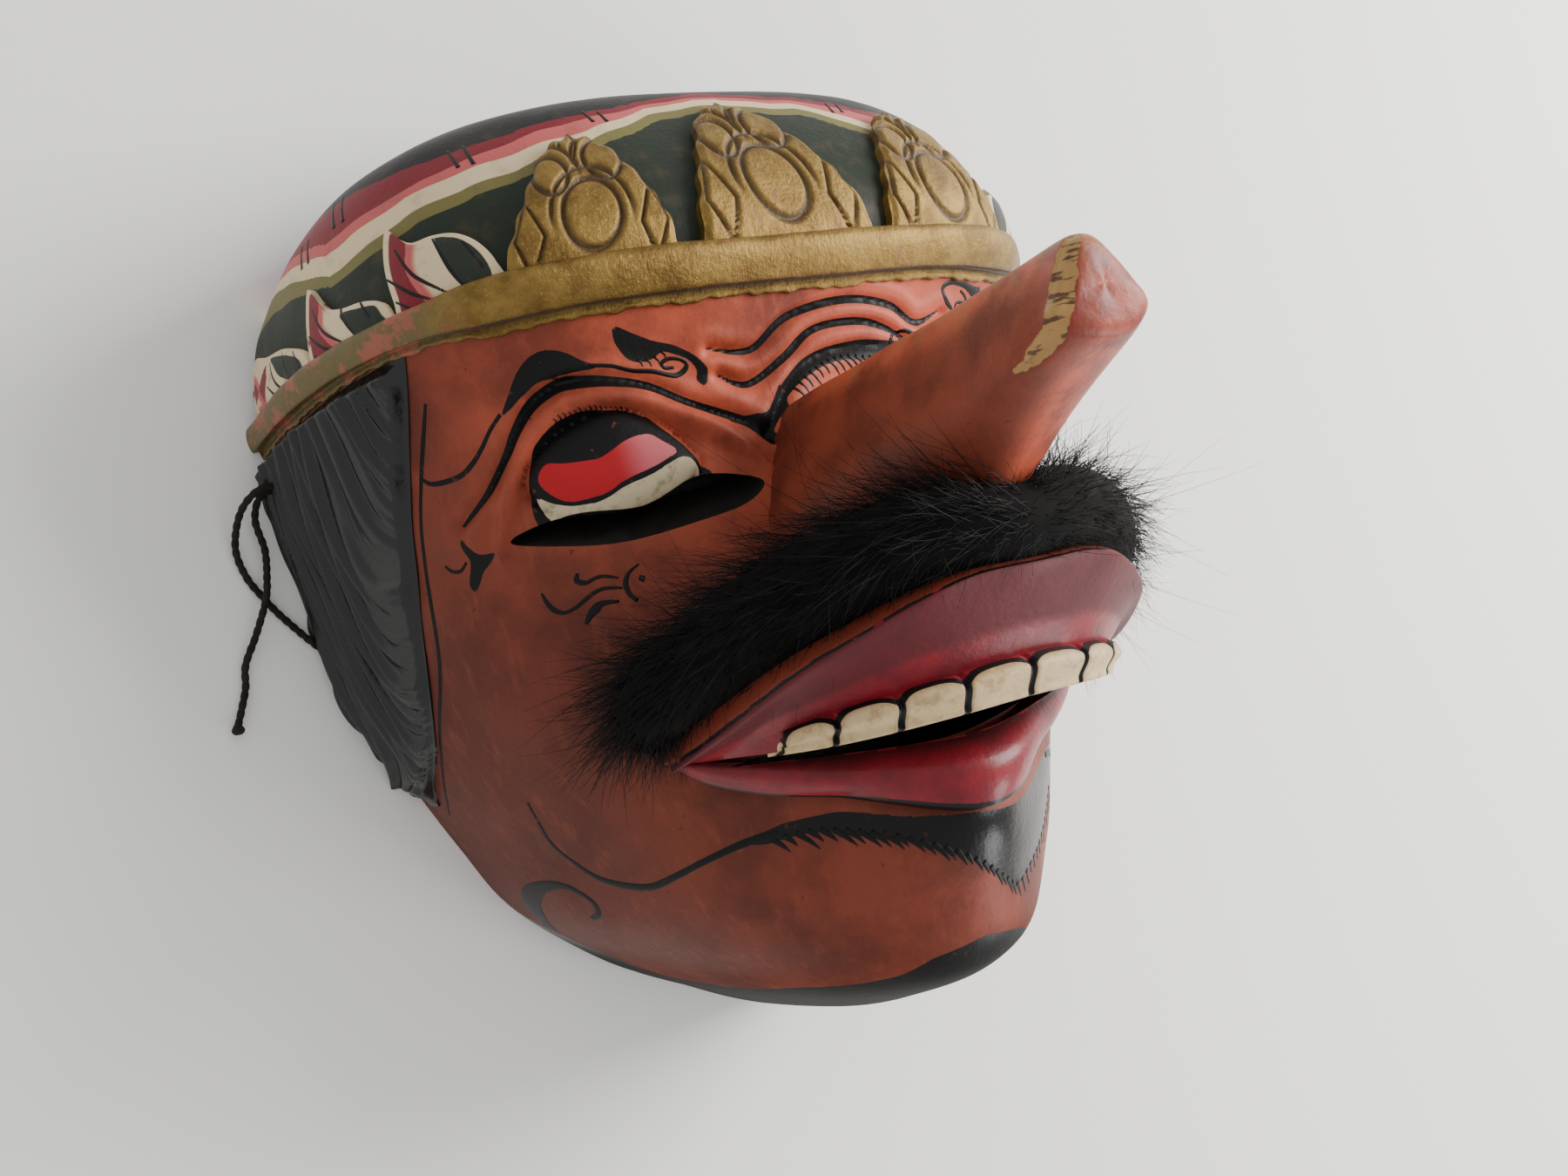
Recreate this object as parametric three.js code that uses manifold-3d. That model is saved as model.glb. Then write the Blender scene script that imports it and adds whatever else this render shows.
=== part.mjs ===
// A carved, painted wooden dance mask with a very long nose, lying face up on its back rim.
// Millimetres. X runs to the viewer's right, Y towards the crown, Z out of the face.
import * as THREE from 'three';
import Module from 'manifold-3d';

const wasm = await Module();
wasm.setup();
const { Manifold, Mesh } = wasm;

// Outer form, from crown to chin. Each row is one section across the face:
// half width at the rim, y of the rim, y and z of the ridge in the middle, squareness.
const ROWS = [
  [0, 86, 86, 0, 2.2],
  [34, 82, 90.5, 26, 2.4],
  [60, 74, 84.5, 51, 2.5],
  [75.5, 60, 77.5, 64.5, 2.9],
  [80, 40.5, 51.5, 77.5, 3],
  [79, 22, 24, 69, 2.7],
  [77, 4, 6, 70, 2.6],
  [75, -14, -16, 74, 2.5],
  [68.5, -30, -38, 80, 2.4],
  [60, -48.5, -57.5, 82, 2.2],
  [52, -63, -75, 81.5, 2.1],
  [36, -78, -89, 79, 2.1],
  [21.5, -87, -95, 57, 2],
  [8.5, -94, -97, 28, 2],
  [0, -94.5, -94.5, 0, 2],
];
// The chin swells out of that form under the lower lip.
const CHIN = { y: -63, rise: 9, halfWidth: 19, halfHeight: 15 };

const HOLLOW_SHARE = 0.885; // the hollow is the outer form drawn this much smaller
const GAP = 0.35; // clearance between the wood and what lies on it
const ROOT = -1.5; // carved relief is rooted this far under the skin
const FOOTPRINT_MIDDLE_Y = -3.25; // moved to the origin at the end
const FINEST_STEP = 0.15; // triangles that change the form by less than this are dropped
const OVER_THE_FACE = 100; // a height above every slit that is cut straight down

// Temple holes, and the low arch under each side rim that lets the cord pass.
const HOLE = { y: 27, z: 8, radius: 2.7 };
const ARCH = { y: -6, radius: 68, height: 3 };

const CORD_RADIUS = 0.95;

const PAINT_RED = 0xb4523a;
const HAIR_BLACK = 0x14110f;
const CORD_BLACK = 0x2a2520;

// Smooth curve through rows of numbers, evenly spaced from t = 0 to t = 1.
function through(rows, t) {
  const last = rows.length - 1;
  const place = THREE.MathUtils.clamp(t, 0, 1) * last;
  const i = Math.min(Math.floor(place), last - 1);
  const u = place - i;
  const before = rows[Math.max(i - 1, 0)];
  const after = rows[Math.min(i + 2, last)];
  return rows[i].map((from, k) => {
    const to = rows[i + 1][k];
    const slopeIn = (to - before[k]) / 2;
    const slopeOut = (after[k] - from) / 2;
    const cubic = 2 * from - 2 * to + slopeIn + slopeOut;
    const square = 3 * to - 3 * from - 2 * slopeIn - slopeOut;
    return ((cubic * u + square) * u + slopeIn) * u + from;
  });
}

// Point of the outer form: `across` in degrees from the middle, `down` from crown 0 to chin 1.
function onSkin(across, down) {
  const [rimX, rimY, midY, midZ, square] = through(ROWS, down);
  const angle = THREE.MathUtils.degToRad(across);
  const sine = Math.sin(angle);
  const cosine = Math.max(Math.cos(angle), 0);
  const reach = (Math.abs(sine) ** square + cosine ** square) ** (-1 / square);
  const x = rimX * sine * reach;
  const y = rimY + (midY - rimY) * cosine * reach;
  const fromChin = (x / CHIN.halfWidth) ** 2 + ((y - CHIN.y) / CHIN.halfHeight) ** 2;
  const chin = CHIN.rise * Math.exp(-fromChin) * Math.sqrt(cosine * reach);
  return new THREE.Vector3(x, y, midZ * cosine * reach + chin);
}

function outward(across, down) {
  const along = onSkin(across + 0.3, down).sub(onSkin(across - 0.3, down));
  const lower = onSkin(across, down + 0.001).sub(onSkin(across, down - 0.001));
  return lower.cross(along).normalize();
}

function lifted(across, down, lift) {
  return onSkin(across, down).addScaledVector(outward(across, down), lift);
}

// Closed body from points and triangles: equal points become one, faces are turned outward.
function closedBody(points, faces) {
  const places = new Map();
  const unique = [];
  const merged = points.map((point) => {
    const key = point.toArray().map((value) => Math.round(value * 1e4)).join(' ');
    if (!places.has(key)) places.set(key, unique.push(point) - 1);
    return places.get(key);
  });
  const kept = faces
    .map((face) => face.map((corner) => merged[corner]))
    .filter(([a, b, c]) => a !== b && b !== c && c !== a);
  const volume = kept.reduce((sum, [a, b, c]) => {
    const normal = new THREE.Vector3().crossVectors(unique[b], unique[c]);
    return sum + unique[a].dot(normal);
  }, 0);
  const turned = volume < 0 ? kept.map(([a, b, c]) => [a, c, b]) : kept;
  return new Manifold(new Mesh({
    numProp: 3,
    vertProperties: new Float32Array(unique.flatMap((point) => point.toArray())),
    triVerts: new Uint32Array(turned.flat()),
  }));
}

// Body through a row of closed rings of points, with a fan over the first and the last ring.
function loft(rings) {
  const count = rings[0].length;
  const points = rings.flat();
  const faces = [];
  for (let i = 0; i + 1 < rings.length; i += 1) {
    for (let j = 0; j < count; j += 1) {
      const a = i * count + j;
      const b = i * count + (j + 1) % count;
      faces.push([a, b, b + count], [a, b + count, a + count]);
    }
  }
  for (const [ring, start] of [[rings[0], 0], [rings.at(-1), points.length - count]]) {
    const middle = ring.reduce((sum, point) => sum.add(point), new THREE.Vector3());
    const centre = points.push(middle.divideScalar(count)) - 1;
    for (let j = 0; j < count; j += 1) {
      const pair = [start + j, start + (j + 1) % count];
      faces.push(start === 0 ? [centre, pair[1], pair[0]] : [centre, pair[0], pair[1]]);
    }
  }
  return closedBody(points, faces);
}

function fromGeometry(geometry) {
  const position = geometry.getAttribute('position');
  const corners = geometry.index ? [...geometry.index.array] : [...Array(position.count).keys()];
  const points = Array.from(
    { length: position.count },
    (_, i) => new THREE.Vector3().fromBufferAttribute(position, i),
  );
  const faces = [];
  for (let i = 0; i < corners.length; i += 3) faces.push(corners.slice(i, i + 3));
  return closedBody(points, faces);
}

function joined(bodies) {
  return bodies.reduce((whole, body) => whole.add(body));
}

// Keeps the largest shell of a body, which also closes any hollow sealed inside it.
function largestPiece(body) {
  return body.decompose().reduce(
    (largest, piece) => (piece.volume() > largest.volume() ? piece : largest),
  );
}

function bothSides(body) {
  return body.add(body.mirror([1, 0, 0]));
}

function steps(from, to, count) {
  return Array.from({ length: count + 1 }, (_, i) => from + ((to - from) * i) / count);
}

// The outer form as a body. Its flat underside is the rim plane.
function outerForm(lift, columns, rows) {
  return loft(steps(0, 1, rows).map(
    (down) => steps(-90, 90, columns).map((across) => lifted(across, down, lift)),
  ));
}

// The hollow: the outer form drawn smaller and carried on below the rim plane.
function hollow() {
  const drop = new THREE.Vector3(0, 0, -2);
  return loft(steps(0, 1, 14).map((down) => {
    const arc = steps(-90, 90, 14).map(
      (across) => onSkin(across, down).multiplyScalar(HOLLOW_SHARE),
    );
    return [...arc, arc.at(-1).clone().add(drop), arc[0].clone().add(drop)];
  }));
}

// Relief swept along a path of [across, down] points. The profile is a closed ring of
// [sideways, up] millimetres; `size` scales it along the way.
function strip(path, count, profile, size) {
  return loft(steps(0, 1, count).map((t) => {
    const [across, down] = through(path, t);
    const ahead = lifted(...through(path, Math.min(t + 0.01, 1)), 0);
    const behind = lifted(...through(path, Math.max(t - 0.01, 0)), 0);
    const up = outward(across, down);
    const side = up.clone().cross(ahead.sub(behind)).normalize();
    const scale = size(t);
    return profile.map(([sideways, high]) => onSkin(across, down)
      .addScaledVector(side, sideways * scale)
      .addScaledVector(up, high > 0 ? high * scale : high));
  }));
}

// Relief inside a closed outline of [across, down] points. Each level is one ring,
// given as [share of the outline, height above the skin].
function patch(outline, levels) {
  const middle = [0, 1].map(
    (k) => outline.reduce((sum, point) => sum + point[k], 0) / outline.length,
  );
  return loft(levels.map(([share, height]) => outline.map((point) => {
    const [across, down] = point.map((value, k) => middle[k] + (value - middle[k]) * share);
    return lifted(across, down, height);
  })));
}

function tapered(t) {
  return 0.25 + 0.75 * Math.sin(Math.PI * t) ** 0.5;
}

// Gilded headband: a rolled bar with a thin fillet below it, high in front, low at the sides.
function headband() {
  const bar = [[4.2, ROOT], [4.2, 2.2], [2.6, 4.1], [-1.2, 4.4], [-3.4, 3.3], [-3.9, 1]];
  const fillet = [[-6.1, 0.8], [-6.3, ROOT]];
  const path = steps(-90, 90, 12).map(
    (across) => [across, 0.308 - 0.0145 * (across / 90) ** 2],
  );
  const height = (t) => {
    const fromMiddle = Math.abs(t - 0.5) * 180;
    return 1 - 0.35 * THREE.MathUtils.smoothstep(fromMiddle, 36, 50);
  };
  return strip(path, 28, [...bar, ...fillet], height);
}

// Lobed gilded plate of the crest: [across, down] of the two feet and of the peak.
function crestPlate(left, right, foot, peak) {
  const halfOutline = [[1, 0], [0.96, 0.26], [0.8, 0.34], [0.74, 0.58], [0.54, 0.66],
    [0.42, 0.86], [0.16, 0.92]];
  const place = (side, high) => {
    const middle = (left + right) / 2;
    const lean = (peak[0] - middle) * high;
    return [middle + lean + (side * (right - left)) / 2, foot + (peak[1] - foot) * high];
  };
  const outline = [
    ...halfOutline.map(([side, high]) => place(side, high)),
    place(0, 1),
    ...halfOutline.toReversed().map(([side, high]) => place(-side, high)),
  ];
  const plate = patch(outline, [[0.3, 2.6], [0.65, 2.6], [1, 2.2], [1, ROOT], [0.4, ROOT]]);
  const bosses = [[0, 0.24, 0.3], [-0.42, 0.5, 0.2], [0.34, 0.62, 0.17]].map(
    ([side, high, radius]) => {
      const ring = steps(0, 2 * Math.PI, 8).slice(0, -1).map((turn) => place(
        side + radius * Math.cos(turn),
        high + radius * 0.75 * Math.sin(turn),
      ));
      return patch(ring, [[0.7, 3.8], [1, 3.2], [1, ROOT]]);
    },
  );
  return joined([plate, ...bosses]);
}

// Painted leaves in low relief beside the crest, each leaning away from the middle.
function sideLeaf(inner, outer, peak) {
  const foot = 0.296;
  const rise = foot - peak[1];
  const outline = [
    [inner, foot], [inner - 2.5, foot - 0.4 * rise], [(inner + peak[0]) / 2 - 1, foot - 0.5 * rise],
    [peak[0] + 1.5, foot - 0.8 * rise], peak, [peak[0] - 2.5, foot - 0.6 * rise],
    [outer - 0.5, foot - 0.3 * rise], [outer, foot],
  ];
  return patch(outline, [[0.35, 2], [0.7, 1.8], [1, 1.4], [1, ROOT], [0.4, ROOT]]);
}

// Black carved hair from the headband down to the jaw, combed in wavy locks.
function templeHair() {
  const frontEdge = [[-49], [-51], [-54], [-58], [-63], [-70], [-80]];
  const locks = 8;
  return loft(steps(0, 1, 13).map((t) => {
    const down = 0.316 + 0.288 * t;
    const [front] = through(frontEdge, t);
    const foot = THREE.MathUtils.smoothstep(t, 0.9, 1);
    const top = steps(front, -90, locks).map((across, i) => {
      const ridge = i % 2 === 0 ? 1.3 : 2.8;
      const sway = i > 0 && i < locks ? 1.1 * Math.sin(12 * t + i) : 0;
      return lifted(across + sway, down, ridge * (1 - 0.6 * foot));
    });
    return [lifted(front, down, ROOT), ...top, lifted(-90, down, ROOT)];
  }));
}

// Cuts and rolls of the brows. The carver raised the left brow into extra wrinkles.
const OUTER_BROW = [[-49, 0.418], [-43, 0.374], [-37, 0.35], [-32, 0.347], [-27, 0.35],
  [-20, 0.363], [-12, 0.393], [-7, 0.404], [-6, 0.415]];
const RAISED_BROW = [[-7, 0.404], [-4, 0.382], [1, 0.357], [10, 0.35], [20, 0.353],
  [30, 0.348], [38, 0.352], [44, 0.375], [49, 0.418]];
const LOW_WRINKLE = [[-12, 0.356], [-8, 0.364], [-2, 0.352], [3, 0.34], [10, 0.338],
  [15, 0.342], [20, 0.351]];
const HIGH_WRINKLE = [[-13, 0.343], [-7, 0.346], [-1, 0.333], [8, 0.328], [16, 0.332],
  [21, 0.341], [26, 0.336]];
const LID_ROLL = [[-47, 0.44], [-43.5, 0.4], [-39, 0.368], [-33, 0.357], [-25, 0.36],
  [-18, 0.379], [-12, 0.405], [-8, 0.432]];

function browCuts() {
  const groove = [[1.6, 1.2], [-1.6, 1.2], [0, -1.2]];
  return joined([OUTER_BROW, RAISED_BROW, LOW_WRINKLE, HIGH_WRINKLE].map(
    (path) => strip(path, Math.round(1.6 * path.length), groove, tapered),
  ));
}

function lidRoll() {
  const roll = [[4, ROOT], [3.6, 0.6], [1.8, 2.1], [-1.8, 2.1], [-3.6, 0.6], [-4, ROOT]];
  return strip(LID_ROLL, 16, roll, tapered);
}

function eyeball() {
  const outline = [[-40, 0.404], [-37, 0.382], [-31.5, 0.369], [-26, 0.366], [-21, 0.384],
    [-18, 0.416], [-22, 0.432], [-28, 0.439], [-34, 0.439], [-38.5, 0.426]];
  return patch(outline, [[0.3, 3.6], [0.65, 3], [0.9, 1.5], [1, 0], [1, ROOT], [0.5, ROOT]]);
}

// Straight cut through the wall inside a closed outline of [x, y] points.
function throughCut(outline, fromZ) {
  const shape = new THREE.Shape(outline.map(([x, y]) => new THREE.Vector2(x, y)));
  const geometry = new THREE.ExtrudeGeometry(shape, {
    depth: OVER_THE_FACE + 5 - fromZ, bevelEnabled: false,
  });
  return fromGeometry(geometry.translate(0, 0, fromZ));
}

function eyeSlit() {
  return throughCut([[-58, 2.6], [-50, 4.6], [-37, 3.4], [-25.5, 6.8], [-14, 4],
    [-18, 0.3], [-28.4, -1.4], [-41, -2.2], [-50.4, -0.5]], 20);
}

function mouthGap() {
  const half = [[38, -44.2], [30, -45.6], [14, -47.8], [0, -48.8]];
  const upper = [[0, -44.4], [22, -44.2]];
  const right = [...upper, ...half];
  const left = right.slice(1, -1).map(([x, y]) => [-x, y]).toReversed();
  return throughCut([...right, ...left], 40);
}

// The nose is a loft along Z: half width, top of the ridge, side edge and underside.
const NOSE = [
  [55, 17, 17, -6, -22],
  [72, 15.5, 17.8, -5, -21.5],
  [88, 13, 18.3, -2, -20.5],
  [104, 11, 18.7, 0.5, -17.5],
  [118, 10.2, 19, 1.8, -12.5],
  [130, 10, 19.6, 3, -5],
  [140, 10, 20.2, 4.6, 0.5],
  [148.5, 9.6, 20.4, 8.5, 3.6],
  [151.5, 7, 18.6, 10.5, 6.6],
];

function nose(grow) {
  const upper = [[0, 1], [0.3, 0.93], [0.62, 0.6], [0.86, 0.24], [1, 0]];
  const lower = [[0.93, 0.35], [0.66, 0.78], [0.3, 0.97], [0, 1]];
  const rings = steps(0, 1, 12).map((t) => {
    const [z, halfWidth, ridge, edge, under] = through(NOSE, t);
    const right = [
      ...upper.map(([side, high]) => [side, edge + high * (ridge + grow - edge)]),
      ...lower.map(([side, low]) => [side, edge - low * (edge - under + grow)]),
    ];
    const left = right.slice(1, -1).map(([side, y]) => [-side, y]).toReversed();
    return [...right, ...left].map(
      ([side, y]) => new THREE.Vector3(side * (halfWidth + grow), y, z + grow),
    );
  });
  return loft(rings);
}

// The left edge of the nose is worn to a flat near the tip: the plane it lies in.
const WORN_FLAT = { inward: [0.86, 0.2, -0.47], offset: -74.2 };

// An edge of the mouth: points from the middle to the corner, mirrored to the other side.
function mirroredEdge(half) {
  return [...half.slice(1).map(([x, ...rest]) => [-x, ...rest]).toReversed(), ...half];
}

// Body between closed rings of edges; stations run from corner to corner.
function mouthPart(edges, stations) {
  const curves = edges.map(mirroredEdge);
  return loft(stations.map(
    (t) => curves.map((curve) => new THREE.Vector3(...through(curve, t))),
  ));
}

const LIP_RIM = [[0, -24, 122], [11.5, -24, 121], [20, -25.5, 118.5], [30, -29, 111],
  [37.5, -32.5, 102], [43.5, -38, 87], [45.5, -42, 70]];
const LIP_HOLLOW = [[0, -33.5, 114.5], [12.5, -34, 113.3], [23, -35, 109], [31.5, -36.8, 101.5],
  [37, -38.5, 92], [41, -41, 81], [43.5, -42.5, 68]];
const GUM = [[0, -38, 113.5], [12.5, -38.5, 112], [22.5, -39, 107.5], [30.5, -39.6, 100.5],
  [36, -40.6, 91], [40, -42, 80], [43, -43, 67]];
const TEETH_FOOT = [[0, -44.7, 111.5], [12, -44.9, 110], [22, -45, 105.5], [30, -44.8, 98.5],
  [35.5, -44.2, 89.5], [39.5, -43.4, 79], [42.5, -43.2, 66]];

function moved([x, y, z], dy, dz) {
  return [x, y + dy, z + dz];
}

function upperLip(grow) {
  const stations = steps(0, 1, 20);
  return mouthPart([
    LIP_RIM.map((point) => moved(point, grow, grow)),
    LIP_HOLLOW.map((point) => moved(point, 0, grow)),
    GUM.map((point) => moved(point, 0, grow - 1.6)),
    TEETH_FOOT.map((point) => moved(point, 0.6 - grow, -2.2)),
    TEETH_FOOT.map(([x, y, z]) => [x * 0.9, y + 1, 60 + (z - 60) * 0.3]),
    LIP_RIM.map(([x, y, z]) => [x * 0.98, y + 12 * (z - 70) / 52 + 1 + grow, 60 + (z - 60) * 0.2]),
  ], stations);
}

// Five teeth on each side of the middle, narrower towards the corners of the mouth.
function teeth() {
  const borders = [0, 0.17, 0.335, 0.5, 0.64, 0.75];
  const half = borders.slice(1).map((end, i) => {
    const [from, to] = [0.5 + borders[i] / 2 + 0.004, 0.5 + end / 2 - 0.004];
    const edges = [
      GUM.map((point) => moved(point, 0.4, 0.2)),
      GUM.map((point) => moved(point, -2.5, 0.7)),
      TEETH_FOOT,
      TEETH_FOOT.map((point) => moved(point, 0.1, -4)),
      GUM.map((point) => moved(point, 0.4, -4)),
    ];
    return mouthPart(edges, steps(from, to, 1));
  });
  return bothSides(joined(half));
}

// The lower lip lies on the chin; its edges are [across, down, height above the skin].
function lowerLip() {
  const crest = [[0, 0.624, 7.5], [13.5, 0.611, 7], [25, 0.599, 6], [34.5, 0.589, 3.5],
    [38.5, 0.586, 0.5]];
  const belly = [[0, 0.643, 8], [15, 0.627, 7.5], [26, 0.608, 6.5], [34.5, 0.595, 4],
    [38.7, 0.588, 0.5]];
  const foot = [[0, 0.66, 4], [19.7, 0.631, 3.5], [28.5, 0.618, 3.2], [35, 0.604, 2.5],
    [39, 0.589, 0.4]];
  const edges = [crest, belly, foot, foot.map(sunk), crest.map(sunk)].map(mirroredEdge);
  return loft(steps(0, 1, 18).map(
    (t) => edges.map((edge) => lifted(...through(edge, t))),
  ));
}

function sunk([across, down]) {
  return [across, down, ROOT];
}

function mask() {
  const carved = joined([
    outerForm(0, 34, 26),
    headband(),
    crestPlate(-36.5, -17, 0.295, [-25, 0.24]),
    crestPlate(-13, 12, 0.292, [-2, 0.226]),
    crestPlate(16, 38, 0.294, [26, 0.232]),
    bothSides(joined([
      sideLeaf(-38, -51, [-48.5, 0.256]),
      sideLeaf(-51.5, -64, [-63, 0.256]),
      sideLeaf(-65, -78, [-77, 0.262]),
      templeHair(),
      lidRoll(),
      eyeball(),
    ])),
    nose(0).trimByPlane(WORN_FLAT.inward, WORN_FLAT.offset),
    upperLip(0),
    teeth(),
    lowerLip(),
  ]);
  const cut = carved.subtract(joined([
    hollow(),
    browCuts(),
    bothSides(eyeSlit()),
    mouthGap(),
    barAcross(ARCH.radius, 72, ARCH.y, ARCH.height - ARCH.radius),
    barAcross(HOLE.radius, 12, HOLE.y, HOLE.z),
  ]));
  return largestPiece(cut.trimByPlane([0, 0, 1], 0).simplify(FINEST_STEP));
}

// Round bar lying along X, used to cut both side walls at once.
function barAcross(radius, sides, y, z) {
  const bar = new THREE.CylinderGeometry(radius, radius, 200, sides);
  return fromGeometry(bar.rotateZ(Math.PI / 2).translate(0, y, z));
}

// The moustache: a thick lock of real hair between the nose and the upper lip.
function moustache() {
  const path = mirroredEdge([[0, -17, 118.5, 7.5], [12, -16, 115.5, 8.5], [23, -17.5, 109, 9],
    [33, -21, 98, 9.5], [41, -26, 85, 9], [47, -30.5, 74, 8], [48, -36, 67, 4.5]]);
  const rings = steps(0, 1, 16).map((t) => {
    const [x, y, z, radius] = through(path, t);
    const centre = new THREE.Vector3(x, y, z);
    const tangent = new THREE.Vector3(...through(path, Math.min(t + 0.01, 1)).slice(0, 3))
      .sub(new THREE.Vector3(...through(path, Math.max(t - 0.01, 0)).slice(0, 3)))
      .normalize();
    const side = new THREE.Vector3(0, 1, 0).cross(tangent).normalize();
    const up = tangent.clone().cross(side);
    return steps(0, 2 * Math.PI, 9).slice(0, -1).map((turn) => centre.clone()
      .addScaledVector(side, radius * Math.cos(turn))
      .addScaledVector(up, radius * Math.sin(turn)));
  });
  const wood = joined([outerForm(GAP, 30, 24), nose(GAP), upperLip(GAP)]);
  return largestPiece(loft(rings).subtract(wood));
}

// A cord through hand-placed points, with an eight-sided section.
function cord(route) {
  const curve = new THREE.CatmullRomCurve3(route.map((point) => new THREE.Vector3(...point)));
  const section = new THREE.Shape(steps(0, 2 * Math.PI, 8).slice(0, -1).map(
    (turn) => new THREE.Vector2(CORD_RADIUS * Math.cos(turn), CORD_RADIUS * Math.sin(turn)),
  ));
  return fromGeometry(new THREE.ExtrudeGeometry(section, {
    steps: Math.round(curve.getLength() / 5.5), extrudePath: curve, bevelEnabled: false,
  }));
}

// From the left temple hole down to the ground, under the left rim, across the hollow and
// up into the right temple hole from inside.
const HEAD_CORD = [
  [-74, 27, 9.2], [-80, 27, 9.2], [-85, 27.2, 8.9], [-88.8, 24, 6], [-90.4, 18, 2.4],
  [-89.4, 12.4, 1.2], [-87, 7.5, 1.2], [-83.5, 2.1, 1.2], [-77, -5.6, 1.2], [-68, -12, 1.2],
  [-55, -18, 1.2], [-38, -22.5, 1.2], [-18, -24, 1.2], [4, -22, 1.2], [25, -16, 1.2],
  [43, -5, 1.2], [56, 8, 1.4], [63.5, 19, 3], [67.5, 25.5, 6.4], [73, 27.2, 8],
];
const CORD_TAIL = [
  [-74, 27, 6.8], [-80, 27, 6.8], [-84.4, 26.4, 6.3], [-86, 22.4, 4], [-85.2, 16.5, 3],
  [-86, 11.5, 3.4], [-87.4, 6.8, 4], [-90.2, 0.8, 2.4], [-93.2, -4.6, 1.2], [-94.2, -9, 1.2],
  [-97, -15.4, 1.2],
];

function cordTail() {
  const knot = new THREE.SphereGeometry(2, 10, 6);
  return cord(CORD_TAIL).add(fromGeometry(knot.translate(-97.4, -16.2, 2)));
}

function part(name, body, colour, roughness) {
  const { numProp, vertProperties, triVerts } = body.getMesh();
  const geometry = new THREE.BufferGeometry();
  geometry.setAttribute('position', new THREE.BufferAttribute(vertProperties, numProp));
  geometry.setIndex(new THREE.BufferAttribute(triVerts, 1));
  geometry.translate(0, -FOOTPRINT_MIDDLE_Y, 0);
  geometry.computeVertexNormals();
  const material = new THREE.MeshStandardMaterial({ color: colour, roughness, metalness: 0 });
  const mesh = new THREE.Mesh(geometry, material);
  mesh.name = name;
  return mesh;
}

const group = new THREE.Group();
group.add(
  part('mask', mask(), PAINT_RED, 0.45),
  part('moustache', moustache(), HAIR_BLACK, 0.8),
  part('head_cord', cord(HEAD_CORD), CORD_BLACK, 0.9),
  part('cord_tail', cordTail(), CORD_BLACK, 0.9),
);
export default group;
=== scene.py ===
# %% [markdown]
# A carved and painted wooden dance mask with a very long nose, lying face up on its back rim.
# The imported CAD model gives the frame: where everything is and how large it may be. This script
# gives it its finer carving, its hair and its paint. X runs to the viewer's right, Y towards the
# crown and Z out of the face. Shapes are worked out in millimetres and placed in metres.

# %% Load the frame
import math

import bpy
import numpy as np
from mathutils import Matrix


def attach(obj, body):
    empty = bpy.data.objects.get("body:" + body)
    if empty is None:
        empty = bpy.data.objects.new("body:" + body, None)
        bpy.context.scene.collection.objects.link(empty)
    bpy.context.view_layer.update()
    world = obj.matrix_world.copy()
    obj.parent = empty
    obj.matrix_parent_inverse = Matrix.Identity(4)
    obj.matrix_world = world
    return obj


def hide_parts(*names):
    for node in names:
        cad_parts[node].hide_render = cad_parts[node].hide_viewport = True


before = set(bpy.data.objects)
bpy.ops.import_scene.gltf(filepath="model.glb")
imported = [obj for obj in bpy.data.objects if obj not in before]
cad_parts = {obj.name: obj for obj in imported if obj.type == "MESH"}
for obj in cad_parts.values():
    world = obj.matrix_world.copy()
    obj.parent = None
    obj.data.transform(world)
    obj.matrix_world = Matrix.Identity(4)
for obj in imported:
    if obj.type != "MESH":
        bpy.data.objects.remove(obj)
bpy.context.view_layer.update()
print("CAD nodes:", sorted(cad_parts))

MILLIMETRE = 0.001
SHIFT = np.array([0.0, 3.25, 0.0])  # from the carver's drawing to the middle of the footprint
rng = np.random.default_rng(7)

# %% [markdown]
# The camera stands where the photographer stood: above the mask, to its left, rolled a little,
# so that the long nose points up and to the right in the picture. It is placed first, because
# the cords have to stay inside its view. Its axes are given as directions, which is easier to
# check against the photograph than three angles.

# %% Camera
CAMERA_PLACE = (-0.1802, -0.03225, 0.3350)
CAMERA_RIGHT = (0.831, -0.242, 0.500)
CAMERA_DOWN = (-0.174, -0.968, -0.179)
CAMERA_FORWARD = (0.528, 0.062, -0.847)

camera_data = bpy.data.cameras.new("camera")
camera_data.lens = 40
camera_data.sensor_width = 36
camera_data.clip_start = 0.01
camera = bpy.data.objects.new("camera", camera_data)
bpy.context.scene.collection.objects.link(camera)
camera_axes = np.array([CAMERA_RIGHT, -np.array(CAMERA_DOWN), -np.array(CAMERA_FORWARD)]).T
left, _, right = np.linalg.svd(camera_axes)
camera.matrix_world = Matrix.Translation(CAMERA_PLACE) @ Matrix((left @ right).tolist()).to_4x4()
bpy.context.scene.camera = camera
print("camera at", CAMERA_PLACE)

# %% [markdown]
# Every curve on the mask is drawn through a few points, so one helper does all of them:
# a Catmull-Rom curve, which passes through its points and bends as little as it can between
# them. Working on whole arrays keeps the script quick.

# %% Curves through points
def through(rows, t):
    """Smooth curve through rows of numbers, evenly spaced from t = 0 to 1. On each span it is
    the cubic whose slope at a row is half the step from the row before to the row after."""
    rows = np.asarray(rows, float)
    last = len(rows) - 1
    place = np.clip(t, 0, 1) * last
    i = np.minimum(np.floor(place).astype(int), last - 1)
    u = (place - i)[..., None]
    start, end = rows[i], rows[i + 1]
    slope_in = (end - rows[np.maximum(i - 1, 0)]) / 2
    slope_out = (rows[np.minimum(i + 2, last)] - start) / 2
    cubic = 2 * start - 2 * end + slope_in + slope_out
    square = 3 * end - 3 * start - 2 * slope_in - slope_out
    return ((cubic * u + square) * u + slope_in) * u + start


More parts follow.
